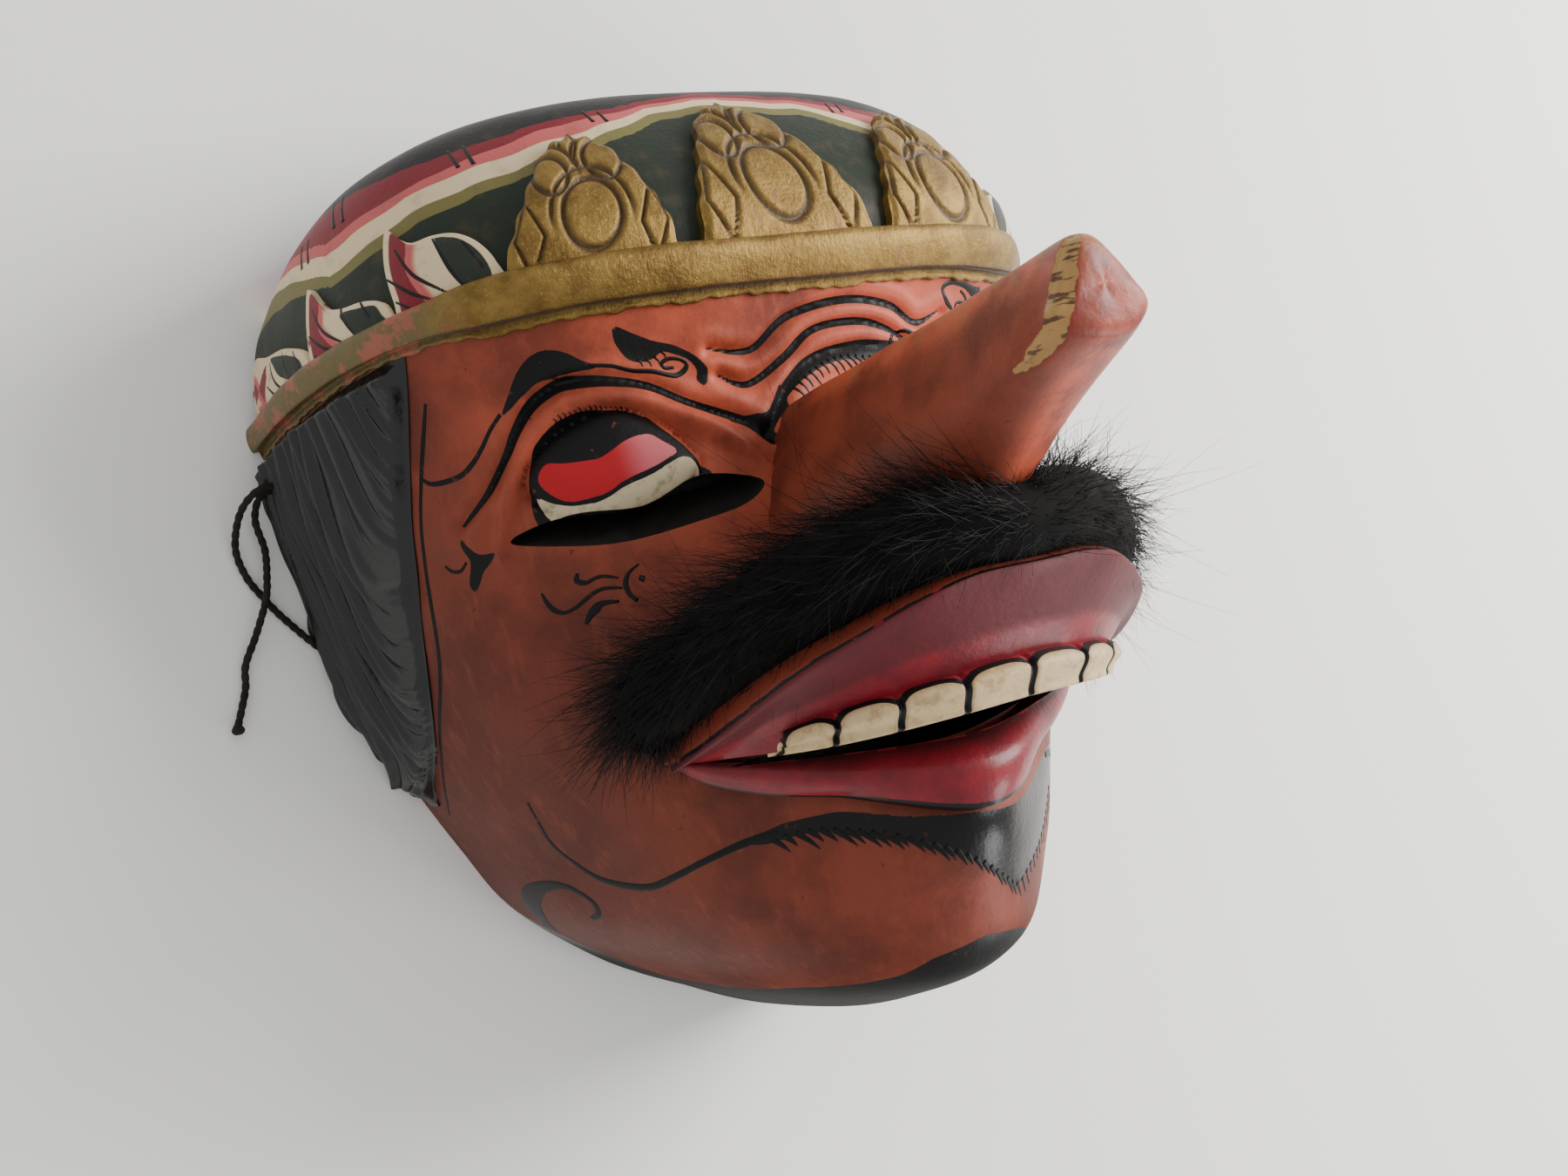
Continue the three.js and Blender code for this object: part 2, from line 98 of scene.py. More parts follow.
def closed_curve(rows, t):
    """The same curve through a ring of points: three points are repeated past the seam."""
    rows = np.asarray(rows, float)
    count = len(rows)
    wrapped = np.concatenate([rows[-1:], rows, rows[:2]])
    return through(wrapped, (1 + np.asarray(t) % 1.0 * count) / (count + 2))


def mirrored(half):
    """A row of points from the middle to one side, carried on to the other side."""
    half = np.asarray(half, float)
    other = half[:0:-1].copy()
    other[:, 0] *= -1
    return np.concatenate([other, half])


def smoothstep(low, high, value):
    """0 below low, 1 above high, and the cubic 3u^2 - 2u^3 in between."""
    u = np.clip((value - low) / (high - low), 0, 1)
    return u * u * (3 - 2 * u)


def unit(vectors):
    """Vectors of length 1: each is divided by the root of its summed squares."""
    return vectors / np.linalg.norm(vectors, axis=-1, keepdims=True)


def turns(count):
    """Angles of a full turn in even steps, in radians."""
    return np.linspace(0, 2 * np.pi, count, endpoint=False)


def walked(path, axis=0):
    """The way walked up to each point of a path, or of each line of a net: the sum of its
    steps so far."""
    gone = np.cumsum(np.linalg.norm(np.diff(path, axis=axis), axis=-1), axis=axis)
    return np.concatenate([0 * gone.take([0], axis=axis), gone], axis=axis)


def two_normals(along, reference):
    """Two unit vectors square to a direction and to each other, from cross products."""
    first = unit(np.cross(along, reference))
    return first, np.cross(along, first)


def ring_directions(along, reference, turn):
    """Directions round a path at the angles turn: its first normal weighed by the cosine, and
    its second by the sine."""
    first, second = (normal[..., None, :] for normal in two_normals(along, reference))
    return first * np.cos(turn)[:, None] + second * np.sin(turn)[:, None]


def spaced(low, high, count, density):
    """count values from low to high, closer together where density(value) is larger."""
    fine = np.linspace(low, high, 2000)
    weight = np.cumsum(density(fine))
    weight = (weight - weight[0]) / (weight[-1] - weight[0])
    return np.interp(np.linspace(0, 1, count), weight, fine)


# %% [markdown]
# The outer form of the mask is a bowl of sections, one below the other from crown to chin. Each
# section is a rounded rectangle, and the chin swells out under the lower lip. Two numbers give
# any point of it: `across`, in degrees from the middle, and `down`, from 0 at the crown to 1 at
# the chin. All relief and all painting is laid out in these two numbers.

# %% The outer form
ROWS = [  # half width at the rim, y of the rim, y and z of the middle, squareness
    [0, 86, 86, 0, 2.2],
    [34, 82, 90.5, 26, 2.4],
    [60, 74, 84.5, 51, 2.5],
    [75.5, 60, 77.5, 64.5, 2.9],
    [80, 40.5, 51.5, 77.5, 3],
    [79, 22, 24, 69, 2.7],
    [77, 4, 6, 70, 2.6],
    [75, -14, -16, 74, 2.5],
    [68.5, -30, -38, 80, 2.4],
    [60, -48.5, -57.5, 82, 2.2],
    [52, -63, -75, 81.5, 2.1],
    [36, -78, -89, 79, 2.1],
    [21.5, -87, -95, 57, 2],
    [8.5, -94, -97, 28, 2],
    [0, -94.5, -94.5, 0, 2],
]
CHIN_Y, CHIN_RISE, CHIN_HALF_WIDTH, CHIN_HALF_HEIGHT = -63, 9, 19, 15
ROOT = -1.5  # relief is rooted this far under the skin


def on_skin(across, down):
    """Point of the outer form. The section is a superellipse, and the chin is a bell curve."""
    across, down = np.broadcast_arrays(across, down)
    rim_x, rim_y, mid_y, mid_z, square = np.moveaxis(through(ROWS, down), -1, 0)
    sine = np.sin(np.radians(across))
    cosine = np.maximum(np.cos(np.radians(across)), 0)
    reach = (np.abs(sine) ** square + cosine ** square) ** (-1 / square)
    x = rim_x * sine * reach
    y = rim_y + (mid_y - rim_y) * cosine * reach
    from_chin = (x / CHIN_HALF_WIDTH) ** 2 + ((y - CHIN_Y) / CHIN_HALF_HEIGHT) ** 2
    chin = CHIN_RISE * np.exp(-from_chin) * np.sqrt(cosine * reach)
    return np.stack([x, y, mid_z * cosine * reach + chin], axis=-1)


def outward(across, down):
    """Unit normal of the outer form, from the cross product of its two directions."""
    across = np.clip(across, -89.6, 89.6)
    down = np.clip(down, 0.004, 0.996)
    along = on_skin(across + 0.3, down) - on_skin(across - 0.3, down)
    lower = on_skin(across, down + 0.001) - on_skin(across, down - 0.001)
    return unit(np.cross(lower, along))


def lifted(across, down, lift):
    """Point at a height above the outer form, along its normal."""
    across, down, lift = np.broadcast_arrays(across, down, lift)
    return on_skin(across, down) + outward(across, down) * lift[..., None]


# %% [markdown]
# A mesh is made from a grid of points. Grids are closed into bodies: rings joined into a tube,
# with a fan over each end. The body is turned so that its faces look outwards, which is read
# off the sign of its volume.

# %% Meshes from grids
def body_from_rings(rings):
    """Points and faces of a closed body through rings[i, j], a row of closed rings."""
    count_i, count_j = rings.shape[:2]
    points = np.concatenate([rings.reshape(-1, 3), rings[[0, -1]].mean(axis=1)])
    i, j = np.meshgrid(np.arange(count_i - 1), np.arange(count_j), indexing="ij")
    a = i * count_j + j
    b = i * count_j + (j + 1) % count_j
    quads = np.stack([a, b, b + count_j, a + count_j], axis=-1).reshape(-1, 4)
    turn = np.arange(count_j)
    following = (turn + 1) % count_j
    foot = (count_i - 1) * count_j
    first = np.stack([np.full(count_j, len(points) - 2), following, turn], axis=-1)
    last = np.stack([np.full(count_j, len(points) - 1), foot + turn, foot + following], axis=-1)
    return points, [quads, first, last]


def volume(points, faces):
    """Signed volume, summed over the triangles that the faces split into."""
    total = 0.0
    for block in faces:
        for k in range(1, block.shape[1] - 1):
            a, b, c = points[block[:, 0]], points[block[:, k]], points[block[:, k + 1]]
            total += np.einsum("ij,ij->i", a, np.cross(b, c)).sum() / 6
    return total


def facing_out(points, faces):
    """The faces, turned over if they face inwards."""
    if volume(points, faces) < 0:
        return [block[:, ::-1] for block in faces]
    return faces


def new_object(name, points, faces, finish):
    """A mesh object at the origin. points are millimetres in the carver's drawing."""
    faces = facing_out(points, faces)
    mesh = bpy.data.meshes.new(name)
    mesh.vertices.add(len(points))
    mesh.vertices.foreach_set("co", ((points + SHIFT) * MILLIMETRE).astype(np.float32).ravel())
    corners = np.concatenate([block.ravel() for block in faces])
    sizes = np.concatenate([np.full(len(block), block.shape[1]) for block in faces])
    mesh.loops.add(len(corners))
    mesh.loops.foreach_set("vertex_index", corners.astype(np.int32))
    mesh.polygons.add(len(sizes))
    mesh.polygons.foreach_set("loop_start", (np.cumsum(sizes) - sizes).astype(np.int32))
    mesh.polygons.foreach_set("use_smooth", np.full(len(sizes), True))
    mesh.update(calc_edges=True)
    mesh.validate()
    mesh.materials.append(finish)
    piece = bpy.data.objects.new(name, mesh)
    bpy.context.scene.collection.objects.link(piece)
    return piece


def above_ground(rings):
    """The same rings, with nothing below the ground that the mask lies on."""
    x, y, z = np.moveaxis(rings, -1, 0)
    return np.stack([x, y, np.maximum(z, 0)], axis=-1)


def merged(bodies):
    """Several bodies, each (points, faces), as one."""
    points, faces, start = [], [], 0
    for body_points, body_faces in bodies:
        points.append(body_points)
        faces += [block + start for block in facing_out(body_points, body_faces)]
        start += len(body_points)
    return np.concatenate(points), faces


# %% [markdown]
# Paint has to know where it is. Numbers kept on the vertices tell it, and Blender blends them
# over each face. A material could look them up in an image, but then every piece would have
# to be unwrapped first.

# %% Numbers on the vertices
def places_of(piece):
    """The vertices of a piece, back in millimetres of the carver's drawing."""
    flat = np.empty(3 * len(piece.data.vertices), np.float32)
    piece.data.vertices.foreach_get("co", flat)
    return flat.reshape(-1, 3).astype(float) / MILLIMETRE - SHIFT


def set_values(piece, **values):
    """Keeps numbers for each vertex, which a material reads by their name."""
    for name, numbers in values.items():
        attribute = piece.data.attributes.get(name)
        attribute = attribute or piece.data.attributes.new(name, "FLOAT", "POINT")
        attribute.data.foreach_set("value", np.asarray(numbers, np.float32).ravel())


def get_values(piece, name):
    """The numbers that set_values kept."""
    values = np.empty(len(piece.data.vertices), np.float32)
    piece.data.attributes[name].data.foreach_get("value", values)
    return values.astype(float)


# %% [markdown]
# Paint on the mask is put on by brush, in strokes with crisp edges. A stroke is kept as a
# signed distance: each vertex knows how far it lies from the edge of the nearest stroke, less
# than zero inside. The material turns that into a sharp edge, which stays crisp between the
# vertices, and needs no image. The same distances shape the carved grooves.

# %% Distances to strokes and outlines
FAR = 9.0  # the largest distance that is worked out, mm
AT_A_TIME = 2000  # points measured at once, so that they fit in memory


def near(points, path, margin):
    """Which points lie in the box round a path, so that only those are measured."""
    low = path.min(axis=0) - margin
    high = path.max(axis=0) + margin
    return np.nonzero(np.all((points > low) & (points < high), axis=1))[0]


def nearest(points, path):
    """For each point its distance to a dense path, and the number of the path's nearest point."""
    distance = np.empty(len(points))
    index = np.empty(len(points), int)
    for start in range(0, len(points), AT_A_TIME):
        block = slice(start, start + AT_A_TIME)
        gap = ((points[block, None] - path[None]) ** 2).sum(axis=-1)
        index[block] = gap.argmin(axis=1)
        distance[block] = np.sqrt(gap.min(axis=1))
    return distance, index


def stroke_distance(points, route, margin=4.0):
    """Distance to a brush stroke less its half width. route is [across, down, half width]."""
    route = np.asarray(route, float)
    line = through(route, np.linspace(0, 1, 24 * len(route)))
    path = on_skin(line[:, 0], line[:, 1])
    result = np.full(len(points), FAR)
    chosen = near(points, path, margin + line[:, 2].max())
    distance, index = nearest(points[chosen], path)
    result[chosen] = distance - line[index, 2]
    return result


def inside(x, y, outline):
    """Even-odd test of points against a closed outline, edge by edge."""
    odd = np.zeros(len(x), bool)
    for (ax, ay), (bx, by) in zip(outline, np.roll(outline, -1, axis=0)):
        crosses = (ay > y) != (by > y)
        with np.errstate(divide="ignore", invalid="ignore"):
            odd ^= crosses & (x < ax + (y - ay) * (bx - ax) / (by - ay))
    return odd


def patch_distance(points, outline, margin=4.0):
    """Distance to the edge of a painted patch, negative inside. outline is [across, down]."""
    line = closed_curve(outline, np.linspace(0, 1, 16 * len(outline), endpoint=False))
    path = on_skin(line[:, 0], line[:, 1])
    result = np.full(len(points), FAR)
    chosen = near(points, path, margin)
    distance, _ = nearest(points[chosen], path)
    within = inside(points[chosen, 0], points[chosen, 1], path[:, :2])
    result[chosen] = np.where(within, -distance, distance)
    return result


def flipped(route):
    """The same stroke or outline on the other half of the face."""
    route = np.array(route, float)
    route[:, 0] *= -1
    return route


def both(shapes):
    """Strokes or outlines, followed by the same ones on the other half of the face."""
    return [*shapes, *[flipped(shape) for shape in shapes]]


def least(distance, points, shapes):
    """For each point the smallest of its distances to several strokes or outlines."""
    distances = [distance(points, shape) for shape in shapes]
    return np.minimum.reduce([np.full(len(points), FAR), *distances])


# %% [markdown]
# Shader maths is easier to read as sums than as a web of nodes. A Wire stands for one output
# socket, and adding, multiplying or comparing wires adds the Math nodes. A Finish is one
# material: it makes nodes of any kind from a type, its settings and its sockets.

# %% A small language for materials
class Wire:
    """One output of a shader node, with the arithmetic that the finishes use."""

    def __init__(self, finish, socket):
        self.finish = finish
        self.socket = socket

    def __add__(self, other):
        return self.finish.maths("ADD", self, other)

    __radd__ = __add__

    def __sub__(self, other):
        return self.finish.maths("SUBTRACT", self, other)

    def __rsub__(self, other):
        return self.finish.maths("SUBTRACT", other, self)

    def __mul__(self, other):
        return self.finish.maths("MULTIPLY", self, other)

    __rmul__ = __mul__

    def clamped(self):
        """The wire kept between 0 and 1."""
        return self.finish.maths("MINIMUM", self.finish.maths("MAXIMUM", self, 0.0), 1.0)

    def absolute(self):
        return self.finish.maths("ABSOLUTE", self)

    def between(self, low, high):
        """0 where the wire is at low, 1 at high, smooth in between; low may be the larger."""
        return self.finish.node(
            "ShaderNodeMapRange", {"interpolation_type": "SMOOTHSTEP"},
            {"Value": self, "From Min": low, "From Max": high, "To Min": 0.0, "To Max": 1.0},
        )


def linear(colour):
    """An sRGB colour of 0 to 255 as the linear values that shaders use."""
    share = np.array(colour[:3]) / 255
    value = np.where(share <= 0.04045, share / 12.92, ((share + 0.055) / 1.055) ** 2.4)
    return (*value.tolist(), 1.0)


# %% [markdown]
# A Finish keeps the nodes of one material together with the colour that its coats have built
# up so far, so that a finish reads as a painter works: a ground first, then coat after coat.

# %% One material
class Finish:
    """A material, with one Principled shader that its parts are wired to."""

    def __init__(self, name, **constants):
        self.material = bpy.data.materials.new(name)
        self.material.use_nodes = True
        self.tree = self.material.node_tree
        self.tree.nodes.clear()
        output = self.tree.nodes.new("ShaderNodeOutputMaterial")
        self.shader = self.tree.nodes.new("ShaderNodeBsdfPrincipled")
        self.tree.links.new(self.shader.outputs[0], output.inputs[0])
        for socket, value in constants.items():
            self.shader.inputs[socket.replace("_", " ")].default_value = value
        self.place = self.node("ShaderNodeTexCoord", {}, {}, "Object")

    def feed(self, socket, value):
        """Gives a socket a value, or a link if the value is a wire."""
        if isinstance(value, Wire):
            self.tree.links.new(value.socket, socket)
        else:
            socket.default_value = value

    def node(self, kind, settings, sockets, output=0):
        """A new node: its settings are set first, then its sockets get values or links."""
        made = self.tree.nodes.new(kind)
        for setting, value in settings.items():
            setattr(made, setting, value)
        for socket, value in sockets.items():
            self.feed(made.inputs[socket], value)
        return Wire(self, made.outputs[output])

    def maths(self, operation, *values):
        sockets = dict(enumerate(values))
        return self.node("ShaderNodeMath", {"operation": operation}, sockets)

    def value(self, name):
        """The number that set_values kept for each vertex under this name."""
        return self.node("ShaderNodeAttribute", {"attribute_name": name}, {}, "Fac")

    def noise(self, size, detail=3.0, roughness=0.55, stretch=(1, 1, 1)):
        """Cloudy noise from 0 to 1. size is about the width of one cloud in millimetres."""
        mapped = self.node("ShaderNodeMapping", {}, {"Vector": self.place, "Scale": stretch})
        return self.node("ShaderNodeTexNoise", {}, {
            "Vector": mapped, "Scale": 1 / (size * MILLIMETRE), "Detail": detail,
            "Roughness": roughness,
        })

    def mixed(self, share, first, second):
        """first where share is 0, second where it is 1; both are colours."""
        sockets = {0: share, 6: first, 7: second}
        return self.node("ShaderNodeMix", {"data_type": "RGBA"}, sockets, 2)

    def coat(self, share, tone):
        """Lays a colour over the one that is there, as far as share says."""
        self.colour = self.mixed(share, self.colour, tone)

    def shaded(self, **sockets):
        """Wires values to the shader's own sockets."""
        for socket, value in sockets.items():
            self.feed(self.shader.inputs[socket.replace("_", " ")], value)

    def bumped(self, height, millimetres):
        """Fine unevenness: height from 0 to 1 stands for this many millimetres."""
        sockets = {"Height": height, "Distance": millimetres * MILLIMETRE, "Strength": 1.0}
        bump = self.node("ShaderNodeBump", {}, sockets)
        self.tree.links.new(bump.socket, self.shader.inputs["Normal"])


# %% [markdown]
# The face is painted terracotta red. It is darker at the sides and below, partly from age and
# partly from painted shade. Each finish starts from one colour and lays others over it as coats.
# How much of a coat shows comes from noise or from numbers that the vertices keep. The hollow is
# bare wood, and the walls of the eye slits and the mouth are black.

# %% Paint
FACE_RED = linear((194, 90, 64))
FACE_BROWN = linear((128, 58, 42))
AGED_AND_SHADED_BROWN = linear((104, 52, 40))
FACE_SHADE = linear((60, 27, 20))
NOSE_BROWN = linear((92, 44, 30))
RUBBED_OCHRE = linear((150, 100, 60))
TIP_PINK = linear((128, 52, 40))
LIP_RED = linear((130, 25, 37))
LIP_DARK = linear((104, 22, 32))
LIP_DULL = linear((76, 25, 30))
TOOTH_IVORY = linear((206, 180, 136))
TOOTH_STAIN = linear((150, 118, 76))
GOLD = linear((142, 114, 56))
GOLD_DARK = linear((104, 78, 32))
GOLD_BRIGHT = linear((194, 166, 98))
GOLD_SHADE = linear((62, 40, 20))
CLAY = linear((152, 84, 62))
OLIVE_GOLD = linear((96, 84, 44))
CARVED_HAIR = linear((14, 16, 16))
CUT_BLACK = linear((40, 38, 35))
WORN_WOOD = linear((166, 128, 76))
WORN_DARK = linear((72, 46, 28))
WOOD_DARK = linear((50, 35, 24))
SCUFF = linear((126, 84, 72))
RUBBED_RED = linear((204, 104, 72))
GRIME = linear((92, 76, 56))
INK = linear((12, 12, 12))
WOOD = linear((92, 66, 42))
CAP_BLACK = linear((22, 21, 23))
CAP_DARK_RED = linear((118, 24, 36))
CAP_PINK = linear((186, 88, 86))
CAP_CREAM = linear((214, 194, 156))
CAP_OLIVE = linear((112, 106, 60))
CAP_GREEN = linear((34, 42, 32))
EYE_CRIMSON = linear((178, 24, 34))
EYE_PINK = linear((206, 104, 110))
IVORY = linear((205, 190, 156))
HAIR_BLACK = linear((12, 9, 8))
CORE_BLACK = linear((8, 7, 6))
CORD_BROWN = linear((42, 38, 33))
PAPER = linear((249, 248, 245))
BRUSH_EDGE = 0.06  # half the width over which one colour gives way to the next, mm
STRIPE_EDGE = 0.03  # the same between two stripes, as a share of a stripe

# %% [markdown]
# The skin carries most of the painting. It could be one painted image, but that goes soft when
# one looks closely. Here each painted shape is a number on the vertices that passes zero at the
# shape's edge, and this finish lays all of them over the red ground.

# %% The painted skin
def face_finish():
    """The painted skin: cap stripes above the band, red face below, and what is drawn on it."""
    paint = Finish("face_paint", Coat_Roughness=0.2, Specular_IOR_Level=0.2)
    cloud = paint.noise(24, 5, 0.6)
    grain = paint.noise(3.0, 5, 0.65, (1, 0.25, 1))
    paint.colour = paint.mixed(cloud.between(0.38, 0.66), FACE_RED, FACE_BROWN)
    across = paint.value("across").absolute()
    # Age and painted shade: browner towards the sides and below.
    aged_and_shaded = across.between(28, 62) * 0.75 + paint.value("down").between(0.42, 0.6) * 0.35
    paint.coat((aged_and_shaded * (cloud + 0.5)).clamped() * 0.85, AGED_AND_SHADED_BROWN)
    paint.coat(grain.between(0.5, 0.75) * 0.35, RUBBED_RED)
    scuff = paint.noise(9, 6, 0.7).between(0.56, 0.7) * across.between(26, 50)
    paint.coat(scuff * 0.5, SCUFF)
    spot = paint.noise(2.3, 3).between(0.71, 0.74)
    paint.coat(spot * 0.7, NOSE_BROWN)
    # Painted shade: darker below, and above that towards the sides.
    low = paint.value("down").between(0.34, 0.54)
    shade = low * 0.58 + across.between(28, 56) * (1 - low) * 0.55
    paint.coat(shade, FACE_SHADE)
    stripe = paint.value("stripe")
    cap = CAP_BLACK
    for step, tone in enumerate((CAP_DARK_RED, CAP_PINK, CAP_CREAM, CAP_OLIVE, CAP_GREEN)):
        cap = paint.mixed(stripe.between(step - STRIPE_EDGE, step + STRIPE_EDGE), cap, tone)
    cap = paint.mixed(paint.noise(5, 5).between(0.5, 0.8) * 0.35, cap, GRIME)
    in_cap = paint.value("down").between(0.3, 0.298)
    paint.coat(in_cap, cap)
    ink = paint.value("ink").between(BRUSH_EDGE, -BRUSH_EDGE)
    rubbed = paint.noise(1.6, 4).between(0.66, 0.72) * 0.6
    paint.coat((ink - rubbed * 0.5).clamped(), INK)
    red = paint.value("eye_red").between(BRUSH_EDGE, -BRUSH_EDGE)
    crimson = paint.mixed(across.between(29, 24), EYE_CRIMSON, EYE_PINK)
    paint.coat(red, crimson)
    white = paint.value("eye_white").between(BRUSH_EDGE, -BRUSH_EDGE)
    dirty = paint.mixed(paint.noise(2.2, 5).between(0.45, 0.75) * 0.6, IVORY, GRIME)
    paint.coat(white, dirty)
    beard = ink * paint.value("down").between(0.54, 0.6)
    gloss = beard * 0.6 + red * 0.4
    underside = paint.value("down").between(0.74, 0.79)
    paint.shaded(
        Base_Color=paint.colour,
        Roughness=0.52 - 0.4 * gloss + 0.2 * (cloud - 0.5) + 0.5 * underside,
        Coat_Weight=((0.02 + 0.07 * gloss) * (1 - underside)).clamped(),
    )
    paint.bumped(paint.noise(1.1, 5) + grain * 0.8, 0.09)
    return paint.material


# %% [markdown]
# Some things on the mask have one colour only: the black walls of the cuts, the hair and the
# cord. A slow cloud darkens them here and there, since nothing old is quite even. Brush ink is
# black too, and lets the red through where the brush ran dry.

# %% Plain colours and ink
def plain_finish(name, colour, roughness):
    """One colour, darker in soft clouds."""
    paint = Finish(name, Roughness=roughness, Specular_IOR_Level=0.2)
    cloud = paint.noise(3, 4)
    darker = tuple(0.6 * part for part in colour[:3]) + (1.0,)
    paint.shaded(Base_Color=paint.mixed(cloud.between(0.4, 0.75), colour, darker))
    paint.bumped(cloud, 0.1)
    return paint.material


def ink_finish():
    """The black of the brush, thin in places, where the red shows through."""
    paint = Finish("ink_paint", Roughness=0.4, Specular_IOR_Level=0.2)
    thin = paint.noise(1.8, 4).between(0.62, 0.75)
    paint.shaded(Base_Color=paint.mixed(thin * 0.5, INK, FACE_BROWN))
    return paint.material


# %% [markdown]
# The nose stands out furthest, so it is worn the most. Its left side is darkened to brown as
# painted shade, its ridge is rubbed to ochre, and a strip on the rim of its end has lost its
# paint. Numbers worked out from where a vertex lies say where these places are, and noise makes
# their edges ragged.

# %% Finish of the nose
def nose_finish():
    """Face red, darkened to brown by painted shade on the viewer's left, and rubbed ochre along
    the ridge. The tip is worn pink, and a ragged strip on its rim is cracked bare wood."""
    paint = Finish("nose_paint", Specular_IOR_Level=0.28)
    cloud = paint.noise(14, 4, 0.55)
    paint.colour = paint.mixed(cloud.between(0.4, 0.65), FACE_RED, FACE_BROWN)
    # Painted shade: the viewer's left side of the nose is darkened to brown.
    left_shade = (paint.value("left_side") * (cloud * 0.6 + 0.65)).clamped()
    paint.coat(left_shade * 0.85, NOSE_BROWN)
    ridge = paint.value("ridge") * paint.noise(5, 5).between(0.42, 0.62)
    paint.coat(ridge * 0.7, RUBBED_OCHRE)
    tip = paint.value("tip")
    pink = tip * (0.4 + 0.6 * paint.noise(5, 3).between(0.4, 0.6))
    paint.coat(pink, TIP_PINK)
    paint.coat(paint.value("tip_rim") * 0.75, WORN_WOOD)
    scratch = paint.noise(1.6, 3, 0.6, (1, 1, 0.35)).between(0.7, 0.74)
    paint.coat(scratch * 0.7, NOSE_BROWN)
    crack = paint.noise(1.4, 4, 0.6, (0.3, 1.3, 0.3)).between(0.52, 0.6)
    bare = paint.mixed(crack * 0.9, WORN_WOOD, WORN_DARK)
    ragged = paint.value("worn") + (paint.noise(2.0, 4) - 0.5) * 1.6
    paint.coat(ragged.between(0.1, -0.1), bare)
    paint.shaded(Base_Color=paint.colour, Roughness=0.45 - 0.04 * tip)
    paint.bumped(paint.noise(1.1, 5) + cloud, 0.1)
    return paint.material


# %% [markdown]
# Both lips are a deep red with black lines along their edges. These lines follow the form, so
# the finish only has to know how far down the lip a point is: bands of that number are the
# lines. The same number darkens the top of the lower lip, under the teeth, as painted shade.

# %% Finish of the lips
def lip_finish():
    """Dark red with black outlines, and painted shade, near black, on the top of the lower lip
    under the teeth. lip_row runs down the lip: 0 to 1 on the upper, 2 to 3 on the lower, which is
    the glossier one."""
    paint = Finish("lip_paint", Specular_IOR_Level=0.25, Coat_Roughness=0.14)
    row = paint.value("lip_row")
    cloud = paint.noise(6, 5)
    paint.colour = paint.mixed(cloud.between(0.35, 0.7), LIP_RED, LIP_DARK)
    dull = row.between(0.78, 0.7) * row.between(0.3, 0.34)
    paint.coat(dull * 0.75, LIP_DULL)
    wander = (paint.noise(3, 3) - 0.5) * 0.1
    wavy = row + wander
    paint.coat(wavy.between(0.22, 0.19), FACE_BROWN)
    outline = wavy.between(0.19, 0.22) * wavy.between(0.34, 0.31)
    paint.coat(outline * paint.noise(4, 2).between(0.36, 0.44), INK)
    foot = (row + wander * 0.3).between(2.9, 2.93)
    paint.coat(foot, INK)
    lower = row.between(1.9, 2.0)
    # Painted shade: the top of the lower lip, under the teeth, is darkened almost to black.
    paint.coat(lower * row.between(2.4, 2.04) * 0.85, INK)
    paint.shaded(
        Base_Color=paint.colour,
        Roughness=0.38 + 0.16 * dull + 0.1 * (cloud - 0.5),
        Coat_Weight=0.04 + 0.1 * lower,
    )
    paint.bumped(paint.noise(1.4, 5), 0.12)
    return paint.material


# %% [markdown]
# The teeth are old ivory paint with a black line round each. The mesh keeps how far inside
# its tooth every point lies, so the line has much the same width everywhere.

# %% Finish of the teeth
def teeth_finish():
    """Ivory inside each tooth's outline, a black line round it and lip red above the gum."""
    paint = Finish("teeth_paint", Roughness=0.5, Specular_IOR_Level=0.3)
    tooth = paint.value("tooth")
    stain = paint.noise(2.6, 5, 0.65)
    ivory = paint.mixed(stain.between(0.45, 0.7) * 0.65, TOOTH_IVORY, TOOTH_STAIN)
    ivory = paint.mixed(tooth.between(0.9, 0.1) * 0.4, ivory, TOOTH_STAIN)
    paint.colour = paint.mixed(tooth.between(-0.05, 0.08), INK, ivory)
    paint.coat(tooth.between(-1.05, -1.2), LIP_RED)
    paint.shaded(Base_Color=paint.colour)
    paint.bumped(paint.noise(0.9, 5), 0.1)
    return paint.material


# %% [markdown]
# The headband and the plates are gold over red clay. Gold paint is a rough and grainy metal:
# bright on small grains and hardly metal where clay shows. The knife cuts and the groove under
# the band are darkened as painted shade. At the sides of the head it has turned a dull olive.

# %% Finish of the gold
def gold_finish():
    """Worn gold paint: painted shade in the cuts, red clay where it is rubbed, olive at the
    sides.
    """
    paint = Finish("gold_paint")
    cloud = paint.noise(7, 6, 0.65)
    grain = paint.noise(0.8, 4, 0.7)
    paint.colour = paint.mixed(cloud.between(0.35, 0.7), GOLD, GOLD_DARK)
    paint.coat(grain.between(0.55, 0.8) * 0.6, GOLD_BRIGHT)
    clay = paint.noise(3.4, 5, 0.6).between(0.63, 0.72)
    paint.coat(clay * 0.6, CLAY)
    cavity = (paint.value("cavity") * 1.3).clamped()
    # Painted shade in the knife cuts and in the groove under the band.
    paint.coat(cavity * 0.85, GOLD_SHADE)
    side = paint.value("across").absolute().between(40, 50)
    patch = paint.noise(7, 6, 0.7).between(0.5, 0.57)
    side_colour = paint.mixed(patch, OLIVE_GOLD, CLAY)
    paint.coat(side * (cloud.between(0.25, 0.45) * 0.35 + 0.6), side_colour)
    metal = (1 - 0.8 * side) * (1 - 0.7 * clay) * (1 - 0.8 * cavity)
    roughness = 0.44 + 0.3 * (grain - 0.4)
    paint.shaded(Base_Color=paint.colour, Metallic=metal * 0.7, Roughness=roughness)
    brushed = paint.noise(1.0, 5, 0.7, (1, 0.25, 1))
    paint.bumped(brushed + grain + paint.noise(2.6, 4), 0.2)
    return paint.material


# %% [markdown]
# The leaves are painted in flat colours, with a dark red lobe, a green oval and fine veins.
# Distances are used again, so that these edges are as crisp as those on the face.

